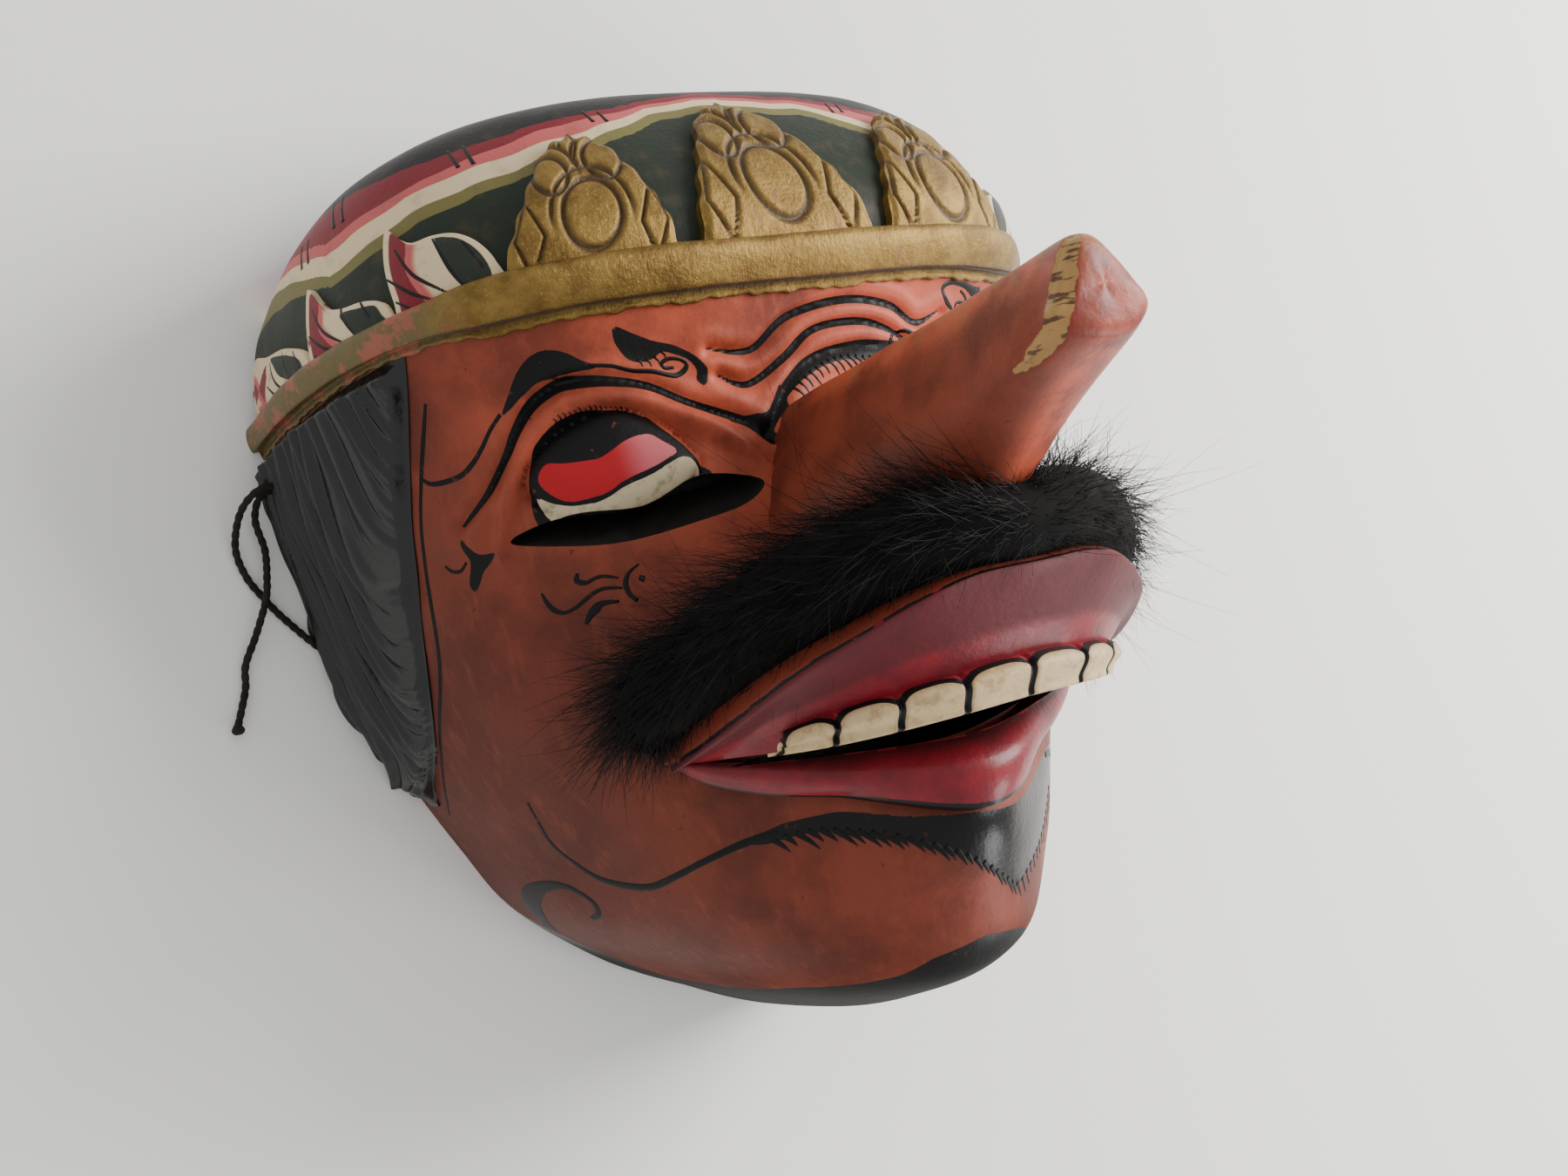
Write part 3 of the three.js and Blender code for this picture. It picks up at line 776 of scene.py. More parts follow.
# %% Finish of the leaves
def leaf_finish():
    """A dark red lobe that pales to pink and cream, a dark green oval, black veins and a cream
    outline. The lobes and veins are distances in millimetres, as on the skin."""
    paint = Finish("leaf_paint", Roughness=0.5, Specular_IOR_Level=0.3)
    red = paint.value("leaf_red") + (paint.noise(2.5, 3) - 0.5) * 0.5
    paint.colour = paint.mixed(red.between(1.0, 2.4), CAP_PINK, CAP_CREAM)
    paint.coat(red.between(0.1, -0.1), CAP_DARK_RED)
    green = paint.value("leaf_green")
    paint.coat(green.between(0.1, -0.1), CAP_GREEN)
    outline = paint.value("leaf_edge").between(0.84, 0.88)
    paint.coat(outline * paint.noise(6, 2).between(0.3, 0.4), CAP_CREAM)
    paint.coat(paint.value("vein").between(BRUSH_EDGE, -BRUSH_EDGE), INK)
    paint.coat(paint.noise(3, 5).between(0.55, 0.8) * 0.5, GRIME)
    paint.shaded(Base_Color=paint.colour)
    paint.bumped(paint.noise(1.5, 4), 0.1)
    return paint.material


# %% [markdown]
# The carved hair has a thick coat of glossy black, which catches the light on every strand.
# The hollow is bare wood. Its grain is noise that is stretched along the length of the block,
# which is much cheaper than carving it.

# %% Finishes of the carved hair and the bare wood
def hair_paint_finish():
    """Thick glossy black over the carved hair, rubbed to brown on a few ridges and the foot."""
    paint = Finish("hair_paint", Roughness=0.28, Specular_IOR_Level=0.5)
    wear = paint.value("worn") * paint.noise(3.0, 4).between(0.5, 0.62)
    paint.colour = paint.mixed(wear, CARVED_HAIR, WOOD)
    paint.shaded(Base_Color=paint.colour)
    paint.bumped(paint.noise(1.2, 4), 0.1)
    return paint.material


def wood_finish(name, colour, dark, size):
    """Bare wood with long grain along Y, darker in the soft rings."""
    paint = Finish(name, Roughness=0.75)
    grain = paint.noise(size, 5, 0.65, (1, 0.12, 1))
    pores = paint.noise(size / 4, 4, 0.7, (1, 0.1, 1))
    tone = paint.mixed(grain.between(0.4, 0.65), colour, dark)
    paint.shaded(Base_Color=paint.mixed(pores.between(0.6, 0.72) * 0.7, tone, dark))
    paint.bumped(grain + pores, 0.25)
    return paint.material


# %% All finishes
face_paint = face_finish()
nose_paint = nose_finish()
ink_paint = ink_finish()
lip_paint = lip_finish()
teeth_paint = teeth_finish()
gold_paint = gold_finish()
leaf_paint = leaf_finish()
hair_paint = hair_paint_finish()
bare_wood = wood_finish("bare_wood", WOOD, WOOD_DARK, 2.5)
dark_cut = plain_finish("dark_cut", CUT_BLACK, 0.6)
hair_finish = plain_finish("moustache_hair", HAIR_BLACK, 0.55)
core_finish = plain_finish("moustache_core", CORE_BLACK, 0.9)
cord_finish = plain_finish("cord_fibre", CORD_BROWN, 0.9)
print(len(bpy.data.materials), "finishes")

# %% [markdown]
# The skin of the mask is one fine grid over the outer form, closed by the flat rim. The carver's
# low relief is added to it as a height: the rolled lids, the domed eyes, the cut wrinkles and
# the slight facets that a knife leaves. The nose, the lips and the teeth follow as pieces of
# their own that are rooted in it.

# %% Relief of the skin
FACET_HEIGHT, LID_HEIGHT, EYE_HEIGHT, MOAT_DEPTH = 0.14, 2.3, 3.7, 0.7
GROOVE_DEPTH, SWELLING = 0.95, 0.4
OUTER_BROW = [[-49.5, 0.42, 0.35], [-45.5, 0.406, 0.6], [-43, 0.394, 0.75], [-40.5, 0.379, 0.9],
              [-38.7, 0.366, 1.0], [-36.3, 0.354, 1.1], [-33.5, 0.348, 1.1], [-31, 0.347, 1.1],
              [-26.5, 0.35, 0.9], [-21.5, 0.357, 0.8], [-17, 0.37, 0.85], [-11.5, 0.384, 0.8],
              [-8.5, 0.394, 0.9], [-6.3, 0.408, 1.2]]
RAISED_BROW = [[-7, 0.404], [-4, 0.382], [1, 0.357], [10, 0.35], [20, 0.353], [30, 0.348],
               [38, 0.352], [44, 0.375], [49, 0.418]]
LOW_WRINKLE = [[-12, 0.356], [-8, 0.364], [-2, 0.352], [3, 0.34], [10, 0.338], [15, 0.342],
               [20, 0.351]]
HIGH_WRINKLE = [[-13, 0.343], [-7, 0.346], [-1, 0.333], [8, 0.328], [16, 0.332], [21, 0.341],
                [26, 0.336]]
LID_ROLL = [[-46, 0.447], [-42.3, 0.412], [-39, 0.385], [-35.5, 0.365], [-31, 0.357],
            [-25.5, 0.359], [-18.5, 0.378], [-12.5, 0.404], [-8.5, 0.43]]
EYE = [[-40, 0.404], [-37, 0.382], [-31.5, 0.369], [-26, 0.366], [-21, 0.384], [-18, 0.416],
       [-22, 0.432], [-28, 0.439], [-34, 0.439], [-38.5, 0.426]]


def tapered_route(path, half_width):
    """A path with a half width that falls away towards both ends."""
    path = np.asarray(path, float)
    along = np.linspace(0, 1, len(path))
    width = half_width * (0.3 + 0.7 * np.sin(np.pi * along) ** 0.5)
    return np.column_stack([path, width])


def carved_height(base):
    """Height above the plain form, in millimetres, at each point of it. A groove is a bell curve
    cut down, with a low swelling on either side; a lid is a roll; an eye is a dome in a moat."""
    height = FACET_HEIGHT * np.sin(base[:, 0] / 5.1 + 1.3 * np.sin(base[:, 1] / 7.3))
    height *= np.sin(base[:, 1] / 4.3 + 1.1 * np.sin(base[:, 2] / 6.1))
    for route in both([LID_ROLL]):
        inward = -stroke_distance(base, tapered_route(route, 3.6), 5.0)
        height += LID_HEIGHT * smoothstep(-0.8, 3.0, inward)
    for outline in both([EYE]):
        edge = patch_distance(base, outline, 9.0)
        dome = np.clip(-edge / 8, 0, 1)
        eyeball = EYE_HEIGHT * np.sqrt(1 - (1 - dome) ** 2) - MOAT_DEPTH
        height = np.where(edge < 0, eyeball, height)
        height -= MOAT_DEPTH * np.exp(-(edge / 0.9) ** 2) * (edge > 0)
    for route in (OUTER_BROW, RAISED_BROW, LOW_WRINKLE, HIGH_WRINKLE):
        away = stroke_distance(base, [[a, d, 0] for a, d, *_ in route], 6.0)
        height -= GROOVE_DEPTH * np.exp(-(away / 0.9) ** 2)
        height += SWELLING * np.exp(-((away - 2.7) / 1.3) ** 2)
    return height


# %% [markdown]
# An even grid would spend many of its points under the hair and on the crown. The lines of this
# one crowd together over the brow and the eyes, where the carving and the painting are fine, and
# stay wide elsewhere. The last columns lie on the ground, so that the rim is flat.

# %% The skin as a closed body
SKIN_COLUMNS, SKIN_ROWS = 304, 284


def step_length(path):
    """Distance from each point of a path to the next."""
    return np.linalg.norm(np.gradient(path, axis=0), axis=1)


def column_density(across):
    """Columns an even distance apart, closer over the face than under the hair."""
    step = step_length(on_skin(across, 0.42))
    return step * (0.4 + 0.6 * smoothstep(66, 52, np.abs(across)))


def row_density(down):
    """Rows an even distance apart, closest over the brow and eyes, wide over the crown."""
    step = step_length(on_skin(20.0, down))
    brow = smoothstep(0.3, 0.325, down) * smoothstep(0.47, 0.45, down)
    face = smoothstep(0.19, 0.21, down) * smoothstep(0.86, 0.82, down)
    return step * (0.3 + 0.35 * face + 0.55 * brow)


across_line = spaced(-90, 90, SKIN_COLUMNS, column_density)
down_line = spaced(0, 1, SKIN_ROWS, row_density)
skin_across, skin_down = np.meshgrid(across_line, down_line)
skin_base = on_skin(skin_across, skin_down)
skin_height = carved_height(skin_base.reshape(-1, 3)).reshape(skin_across.shape)
at_rim = smoothstep(88.5, 84, np.abs(skin_across)) * smoothstep(0, 0.03, skin_down)
at_rim *= smoothstep(1, 0.97, skin_down)
skin_rings = lifted(skin_across, skin_down, skin_height * at_rim)
skin_rings[..., 2] = np.where(np.abs(skin_across) > 89.9, 0, np.maximum(skin_rings[..., 2], 0))
skin_points, skin_faces = body_from_rings(skin_rings)
mask = new_object("carved_mask", skin_points, skin_faces, face_paint)
set_values(mask, across=np.append(skin_across, [0, 0]), down=np.append(skin_down, [0, 1]))
brow_row = int(np.searchsorted(down_line, 0.37))
brow_step = np.linalg.norm(skin_base[brow_row + 1, ::40] - skin_base[brow_row, ::40], axis=-1)
print("skin:", len(skin_points), "points; rows on the brow are", brow_step.round(2), "mm apart")

# %% [markdown]
# The nose is a beam that stands out of the face by its own length. It is a loft along Z: at each
# height its section has a ridge on top, an edge at each side and a rounded underside. Along the
# rim of its end a strip is worn down to bare wood: points near a line are pulled in, and their
# distance to that line tells the paint where to stop.

# %% Nose
NOSE = [  # z, half width, top of the ridge, side edge, underside
    [55, 17, 17, -6, -22],
    [72, 15.5, 17.8, -5, -21.5],
    [88, 13, 18.3, -2, -20.5],
    [104, 11, 18.7, 0.5, -17.5],
    [118, 10.2, 19, 1.8, -12.5],
    [130, 10, 19.6, 3, -5],
    [140, 10, 20.2, 4.6, 0.5],
    [148, 9.7, 20.4, 8.2, 3.5],
    [150.4, 8.6, 19.4, 9.4, 5.0],
    [151.4, 5.2, 16.6, 11, 8.2],
    [151.6, 1.2, 13.2, 12, 11.2],
]
NOSE_UPPER = [[0, 1], [0.3, 0.93], [0.62, 0.6], [0.86, 0.24], [1, 0]]
NOSE_LOWER = [[0.93, 0.35], [0.66, 0.78], [0.3, 0.97], [0, 1]]
NOSE_CORE = np.array([0, 10, 138])  # a point inside the end, towards which wood is worn off
WORN_DEPTH = 0.7
WORN_EDGE = [  # x, y, z, half width of the strip worn down to bare wood
    [-1.6, 19.9, 149.4, 1.2],
    [-4.8, 16.6, 150.2, 1.9],
    [-6.4, 13.4, 150.2, 2.1],
    [-8.3, 7.0, 148.2, 2.0],
    [-9.3, 3.9, 143.6, 1.5],
    [-9.7, 3.0, 138.8, 0.5],
]


def nose_section():
    """Sideways share and height share round the section: above 0 towards the ridge."""
    upper = np.array(NOSE_UPPER, float)
    lower = np.array(NOSE_LOWER, float) * [1, -1]
    right = np.concatenate([upper, lower])
    left = right[1:-1][::-1] * [-1, 1]
    return closed_curve(np.concatenate([right, left]), np.linspace(0, 1, 88, endpoint=False))


def nose_body():
    """Rings of the section along Z. Each is pulled to its own width, ridge and underside."""
    stations = through(NOSE, np.linspace(0, 1, 96))
    z, half_width, ridge, edge, under = (stations[:, k, None] for k in range(5))
    side, high = nose_section().T
    x = side * half_width
    y = edge + np.where(high > 0, high * (ridge - edge), high * (edge - under))
    rings = np.stack([x, y, np.broadcast_to(z, x.shape)], axis=-1)
    rings += 0.12 * np.sin(rings[..., 2:3] / 3.7 + side[None, :, None] * 4)
    return body_from_rings(rings)


def worn_strip(body):
    """Flattens the strip along the rim of the nose's end. Also gives, for each point, its
    distance to the strip, negative inside."""
    points, faces = body
    line = through(WORN_EDGE, np.linspace(0, 1, 120))
    distance, index = nearest(points, line[:, :3])
    distance = np.minimum(distance - line[index, 3], FAR)
    depth = WORN_DEPTH * smoothstep(0.3, -1.2, distance)
    return (points + depth[:, None] * unit(NOSE_CORE - points), faces), distance


# %% [markdown]
# The mouth is four forms in a row: the upper lip, which juts out like a shelf, the hollow under
# its edge, the teeth and the lower lip. Each is a body between curves that run from one corner
# of the mouth to the other.

# %% Edges of the mouth
LIP_RIM = [[0, -24, 122], [11.5, -24, 121], [20, -25.5, 118.5], [30, -29, 111],
           [37.5, -32.5, 102], [43.5, -38, 87], [45.5, -42, 70]]
LIP_HOLLOW = [[0, -33.5, 114.5], [12.5, -34, 113.3], [23, -35, 109], [31.5, -36.8, 101.5],
              [37, -38.5, 92], [41, -41, 81], [43.5, -42.5, 68]]
GUM = [[0, -38, 113.5], [12.5, -38.5, 112], [22.5, -39, 107.5], [30.5, -39.6, 100.5],
       [36, -40.6, 91], [40, -42, 80], [43, -43, 67]]
TEETH_FOOT = [[0, -44.7, 111.5], [12, -44.9, 110], [22, -45, 105.5], [30, -44.8, 98.5],
              [35.5, -44.2, 89.5], [39.5, -43.4, 79], [42.5, -43.2, 66]]
TOOTH_BORDERS = np.array([0, 0.17, 0.34, 0.51, 0.67])  # shares of the way to the corner
TOOTH_HEIGHT, TEETH_WIDTH = 8.2, 65
MOUTH_CORE = np.array([0, -30, 60])  # the teeth bulge away from here


def moved(edge, dy, dz):
    """An edge of the mouth, shifted up by dy and forward by dz."""
    return np.asarray(edge, float) + [0, dy, dz]


def rows_through(front_edges, row_count, stations):
    """Rows of points through edges that run across the mouth, smooth from one to the next."""
    columns = np.stack([through(mirrored(edge), stations) for edge in front_edges])
    rows = through(columns.reshape(len(columns), -1), np.linspace(0, 1, row_count))
    return rows.reshape(row_count, len(stations), 3)


def closed_behind(front, back_edges, stations):
    """Rings of a body. Its front rows are seen, and the edges behind take one row each."""
    back = np.stack([through(mirrored(edge), stations) for edge in back_edges])
    return np.concatenate([front, back]).transpose(1, 0, 2)


# %% [markdown]
# The upper lip could be a plain tube, but it has a thin rim and a hollow below it. Five edges
# across the mouth give it those: a smooth curve runs through them from the rim to the gum.
# Three more edges close the back.

# %% Upper lip
def upper_lip_body():
    """The lip's rounded rim, the hollow under it and its back. Also gives how far down the
    lip each point is, from 0 to 1."""
    rim = np.asarray(LIP_RIM, float)
    foot = np.asarray(TEETH_FOOT, float)
    behind_foot = np.column_stack([foot[:, 0] * 0.9, foot[:, 1] + 1, 60 + (foot[:, 2] - 60) * 0.3])
    behind_rim = np.column_stack([
        rim[:, 0] * 0.98, rim[:, 1] + 12 * (rim[:, 2] - 70) / 52 + 1, 60 + (rim[:, 2] - 60) * 0.2,
    ])
    rounded = [moved(rim, 1.0, -1.6), moved(rim, 0.2, -0.1), moved(rim, -1.3, -0.6)]
    front_edges = [*rounded, LIP_HOLLOW, moved(GUM, 0, -1.6)]
    back_edges = [moved(TEETH_FOOT, 0.6, -2.2), behind_foot, behind_rim]
    stations = np.linspace(0, 1, 170)
    front = rows_through(front_edges, 34, stations)
    row = np.concatenate([np.linspace(0, 1, 34), [1.1, 1.2, -0.1]])
    body = body_from_rings(closed_behind(front, back_edges, stations))
    return body, np.append(np.tile(row, 170), [0.5, 0.5])


# %% [markdown]
# The teeth are one band, as a carver would cut them from one ridge. The band is pinched in
# where two teeth meet, and the measure that pinches it also tells the paint where a tooth
# ends.

# %% Teeth
def tooth_shape(t):
    """Share across the nearest tooth, -1 to 1, and its half width in shares of the half row."""
    place = np.abs(2 * t - 1)
    index = np.clip(np.searchsorted(TOOTH_BORDERS, place, side="right") - 1,
                    0, len(TOOTH_BORDERS) - 2)
    start, end = TOOTH_BORDERS[index], TOOTH_BORDERS[index + 1]
    return np.clip((2 * place - start - end) / (end - start), -1.0, 1.0), (end - start) / 2


def teeth_body():
    """The row of teeth as one band, pinched in between the teeth. Each tooth bulges forward.
    Also gives, for each point, its distance in millimetres inside the outline of its tooth:
    straight sides and an arched top."""
    reach = TOOTH_BORDERS[-1] / 2
    stations = np.linspace(0.5 - reach, 0.5 + reach, 320)
    gum_edges = [moved(GUM, 0.4, -1.2), moved(GUM, -0.6, 0.3), moved(GUM, -2.5, 0.9)]
    foot_edges = [moved(TEETH_FOOT, *by) for by in ((1.4, 0.9), (0.2, 0.4), (0, -1))]
    front = rows_through(gum_edges + foot_edges, 26, stations)
    side, half_share = tooth_shape(stations)
    forward = front - MOUTH_CORE
    forward[..., 1] = 0
    gum_line = 0.15 + 0.22 * np.abs(side) ** 3
    below_gum = (np.linspace(0, 1, 26)[:, None] - gum_line) * TOOTH_HEIGHT
    from_side = (1 - np.abs(side)) * half_share * TEETH_WIDTH
    corner = np.minimum(from_side[None] - 0.62, below_gum - 0.2)
    pinch = 0.75 * np.exp(-(from_side / 0.5) ** 2)[None] + 0.45 * smoothstep(0.3, -0.6, below_gum)
    front = front - unit(forward) * pinch[..., None]
    rings = closed_behind(front, [moved(TEETH_FOOT, 0.1, -4), moved(GUM, 0.4, -4)], stations)
    inside_tooth = np.pad(corner, ((0, 2), (0, 0)), constant_values=1.0).T
    return body_from_rings(rings), np.append(inside_tooth.ravel(), [1.0, 1.0])


# %% [markdown]
# The lower lip lies on the skin. Its edges are therefore drawn in across and down, with a
# height above the skin as the third number, and it follows the form below it by itself.

# %% Lower lip
LOWER_CREST = [[0, 0.624, 7.5], [13.5, 0.611, 7], [25, 0.599, 6], [34.5, 0.589, 3.5],
               [38.5, 0.586, 0.5]]
LOWER_BELLY = [[0, 0.643, 8], [15, 0.627, 7.5], [26, 0.608, 6.5], [34.5, 0.595, 4],
               [38.7, 0.588, 0.5]]
LOWER_FOOT = [[0, 0.66, 4], [19.7, 0.631, 3.5], [28.5, 0.618, 3.2], [35, 0.604, 2.5],
              [39, 0.589, 0.4]]


def lower_lip_body():
    """Rings across the lip between its crest, belly and foot, rooted under the skin. Also
    gives how far down the lip each point is, from 0 to 1."""
    stations = np.linspace(0, 1, 150)
    front = rows_through([LOWER_CREST, LOWER_BELLY, LOWER_FOOT], 20, stations)
    rooted = [[[a, d, ROOT] for a, d, _ in edge] for edge in (LOWER_FOOT, LOWER_CREST)]
    rings = closed_behind(front, rooted, stations)
    row = np.concatenate([np.linspace(0, 1, 20), [1.1, -0.1]])
    body = body_from_rings(lifted(*np.moveaxis(rings, -1, 0)))
    return body, np.append(np.tile(row, 150), [0.5, 0.5])


# %% [markdown]
# The forms are now cut as the carver would: the back is hollowed out, then the mouth, the eye
# slits and the cord holes go through, and a low arch under the rim lets the cord pass. The nose,
# lips and teeth stay meshes of their own, rooted in the wood, so that each keeps its even grid.
# Boolean modifiers with the Manifold solver do a cut in one pass each and hand the cutter's
# material to the faces that it makes.

# %% Cutters
HOLLOW_SHARE = 0.885
CUT_TOP, MOUTH_CUT_FOOT, BAR_REACH = 125.0, 40, 110
SLIT_RISE, SLIT_DEPTH = 12, 16  # the slits slope under the skin, so that their wall is seen
HOLE_Y, HOLE_Z, HOLE_RADIUS = 27, 8, 2.7
ARCH_Y, ARCH_RADIUS, ARCH_HEIGHT = -6, 68, 3
EYE_SLIT = [[-58, 2.6], [-50, 4.6], [-37, 3.4], [-25.5, 6.8], [-14, 4], [-18, 0.3],
            [-28.4, -1.4], [-41, -2.2], [-50.4, -0.5]]
MOUTH_GAP = [[0, -44.4], [22, -44.2], [38, -44.2], [30, -45.6], [14, -47.8], [0, -48.8]]


def hollow_body():
    """The outer form made smaller, a little uneven from the gouge, and open at the back."""
    across, down = np.meshgrid(np.linspace(-90, 90, 76), np.linspace(0, 1, 76))
    arc = on_skin(across, down) * HOLLOW_SHARE
    arc += 0.35 * np.sin(arc[..., :1] / 3.1 + arc[..., 1:2] / 9) * smoothstep(4, 12, arc[..., 2:3])
    drop = np.array([0, 0, -2.0])
    return body_from_rings(np.concatenate([arc, arc[:, -1:] + drop, arc[:, :1] + drop], axis=1))


def ring_over(outline, z):
    """A smooth ring at height z over an outline of [x, y] points."""
    ring = closed_curve(outline, np.linspace(0, 1, 12 * len(outline), endpoint=False))
    return np.column_stack([ring, np.full(len(ring), z)])


def straight_cut(outline, low):
    """A prism over an outline, from the height low up."""
    return body_from_rings(np.stack([ring_over(outline, low), ring_over(outline, CUT_TOP)]))


def sloping_cut(outline):
    """A cut over an outline. Under the skin it slopes up towards the crown."""
    top = ring_over(outline, CUT_TOP)
    across, down = np.meshgrid(np.linspace(-80, 80, 260), np.linspace(0.25, 0.6, 200))
    net = on_skin(across, down).reshape(-1, 3)
    _, index = nearest(top[:, :2], net[:, :2])
    edge = np.column_stack([top[:, :2], net[index, 2] - 1])
    return body_from_rings(np.stack([edge + [0, SLIT_RISE, -SLIT_DEPTH], edge, top]))


def bar_across(radius, y, z, sides=48):
    """A round bar from one side of the mask to the other."""
    turn = turns(sides)
    ring = np.column_stack([np.zeros(sides), y + radius * np.cos(turn), z + radius * np.sin(turn)])
    return body_from_rings(np.stack([ring + [x, 0, 0] for x in (-BAR_REACH, BAR_REACH)]))


def cut_away(target, name, body, finish):
    """Cuts a body out of the target. The new faces take the given finish."""
    tool = new_object(name, *body, finish)
    modifier = target.modifiers.new(name, "BOOLEAN")
    modifier.operation = "DIFFERENCE"
    modifier.solver = "MANIFOLD"
    modifier.material_mode = "TRANSFER"
    modifier.object = tool
    bpy.context.view_layer.update()
    graph = bpy.context.evaluated_depsgraph_get()
    result = bpy.data.meshes.new_from_object(target.evaluated_get(graph))
    target.modifiers.remove(modifier)
    old = target.data
    target.data = result
    bpy.data.meshes.remove(old)
    tool_mesh = tool.data
    bpy.data.objects.remove(tool)
    bpy.data.meshes.remove(tool_mesh)


# %% The forms before the cuts
upper_lip, upper_row = upper_lip_body()
lower_lip, lower_row = lower_lip_body()
teeth_row, tooth_values = teeth_body()
nose_form, nose_worn = worn_strip(nose_body())
nose = new_object("nose", *nose_form, nose_paint)
upper_lip = new_object("upper_lip", *upper_lip, lip_paint)
lower_lip = new_object("lower_lip", *lower_lip, lip_paint)
teeth = new_object("teeth", *teeth_row, teeth_paint)
set_values(upper_lip, lip_row=upper_row)
set_values(lower_lip, lip_row=lower_row + 2)
set_values(teeth, tooth=tooth_values)
nose_x, nose_y, nose_z = places_of(nose).T
set_values(
    nose,
    # painted shade on the viewer's left side, below the ridge
    left_side=smoothstep(0, -6, nose_x) * smoothstep(19, 12, nose_y),
    ridge=smoothstep(13, 18, nose_y),
    tip=smoothstep(140, 149, nose_z),
    tip_rim=np.exp(-((nose_z - 149.6) / 1.2) ** 2) * smoothstep(12, 17, nose_y),
    worn=nose_worn,
)

# %% Cut the mask
full_gap = np.concatenate([MOUTH_GAP, flipped(MOUTH_GAP[-2:0:-1])])
for piece in (mask, nose, upper_lip, lower_lip):
    cut_away(piece, "hollow", hollow_body(), bare_wood)
for piece in (mask, upper_lip, lower_lip):
    cut_away(piece, "mouth_gap", straight_cut(full_gap, MOUTH_CUT_FOOT), dark_cut)
cut_away(mask, "left_slit", sloping_cut(EYE_SLIT), dark_cut)
cut_away(mask, "right_slit", sloping_cut(flipped(EYE_SLIT[::-1])), dark_cut)
arch_bar = bar_across(ARCH_RADIUS, ARCH_Y, ARCH_HEIGHT - ARCH_RADIUS, 200)
cut_away(mask, "rim_arch", arch_bar, bare_wood)
cut_away(mask, "cord_holes", bar_across(HOLE_RADIUS, HOLE_Y, HOLE_Z), bare_wood)
for piece in (mask, nose, upper_lip, lower_lip, teeth):
    piece.data.set_sharp_from_angle(angle=math.radians(38))
triangles = sum(len(polygon.vertices) - 2 for polygon in mask.data.polygons)
print("mask:", triangles, "triangles, materials",
      [material.name for material in mask.data.materials])

# %% [markdown]
# The painter drew with one brush in black: fine lines that swell and taper, two crescent
# eyebrows, a flame, curls on the cheeks, and a beard with a hairy edge. Each is a row of points
# with a half width, or a closed outline. Most are drawn on both halves of the face; the raised
# brow and the motifs beside it differ from left to right. Rows of short hairs are made by a
# loop along a line.

# %% Strokes drawn on both sides
HAIR_LINE = [[-49, 0.338, 0.3], [-50.5, 0.355, 0.5], [-54.5, 0.401, 0.4], [-57, 0.436, 0.45],
             [-61, 0.497, 0.5], [-72, 0.558, 0.4], [-84, 0.612, 0.3]]
TEMPLE_LINE = [[-52.5, 0.377, 0.3], [-51.5, 0.383, 0.5], [-49.5, 0.385, 0.6], [-47, 0.384, 0.6],
               [-45, 0.378, 0.6], [-43.3, 0.37, 0.5], [-41.7, 0.361, 0.45], [-40, 0.354, 0.45]]
EYEBROW = [[-39.8, 0.355], [-38.5, 0.345], [-37.2, 0.337], [-35.7, 0.332], [-34, 0.3305],
           [-32.5, 0.3315], [-31, 0.334], [-29.5, 0.338], [-27.5, 0.3425], [-30, 0.3425],
           [-33, 0.343], [-35, 0.3435], [-37, 0.348]]
EYEBROW_CURL = [[-28.5, 0.341, 0.4], [-26, 0.343, 0.4], [-23.5, 0.347, 0.45], [-21, 0.349, 0.5],
                [-19, 0.352, 0.5], [-17.8, 0.353, 0.6], [-16.6, 0.351, 0.65],
                [-16.3, 0.348, 0.5], [-17.2, 0.3455, 0.4], [-18.6, 0.3445, 0.45],
                [-19.6, 0.346, 0.5], [-19.2, 0.3485, 0.45], [-18, 0.349, 0.35]]
FLAME = [[-25.2, 0.327], [-23, 0.331], [-20.5, 0.3355], [-18, 0.3385], [-16, 0.3425],
         [-14.5, 0.347], [-13.6, 0.353], [-14.2, 0.361], [-15.2, 0.357], [-15, 0.352],
         [-16, 0.3465], [-18, 0.3425], [-19.5, 0.341], [-20.5, 0.343], [-22, 0.344],
         [-23.7, 0.342], [-24.8, 0.337], [-25.4, 0.332]]
FLAME_HAIRS = [[-19.5, 0.341], [-21, 0.3435], [-22.8, 0.343]]
EYE_BLACK = [[-39.3, 0.407], [-38, 0.389], [-37, 0.379], [-35, 0.37], [-33, 0.365],
             [-30.5, 0.363], [-28, 0.365], [-25.5, 0.368], [-23, 0.375], [-21.5, 0.386],
             [-20, 0.399], [-18.6, 0.414], [-17, 0.432], [-24, 0.444], [-32, 0.446],
             [-38.5, 0.443], [-40.2, 0.43]]
LASHES = [[-34, 0.367], [-32, 0.364], [-29.5, 0.364], [-27, 0.366], [-25, 0.369]]
EYE_RED = [[-38, 0.406], [-36.5, 0.395], [-34.5, 0.398], [-32.5, 0.4], [-30.5, 0.401],
           [-29, 0.398], [-27, 0.392], [-25, 0.389], [-23.5, 0.39], [-22.5, 0.396],
           [-21, 0.407], [-22.5, 0.412], [-24.5, 0.416], [-27, 0.419], [-29, 0.422],
           [-31, 0.426], [-35, 0.426], [-37, 0.419]]
EYE_WHITE = [[-39, 0.417], [-37.5, 0.423], [-35.5, 0.428], [-33, 0.43], [-31, 0.429],
             [-28.5, 0.4245], [-26, 0.422], [-24, 0.419], [-21, 0.413], [-19.5, 0.4145],
             [-18.6, 0.425], [-21.5, 0.432], [-23.5, 0.436], [-27, 0.439], [-32.5, 0.441],
             [-36, 0.439], [-38.6, 0.431]]
FLICK = [[-50.3, 0.427], [-49.5, 0.436], [-48.5, 0.441], [-46.5, 0.443], [-48, 0.449],
         [-49, 0.452], [-50, 0.458], [-51, 0.4615], [-51.5, 0.457], [-50.8, 0.45],
         [-50.2, 0.443], [-50.6, 0.435]]
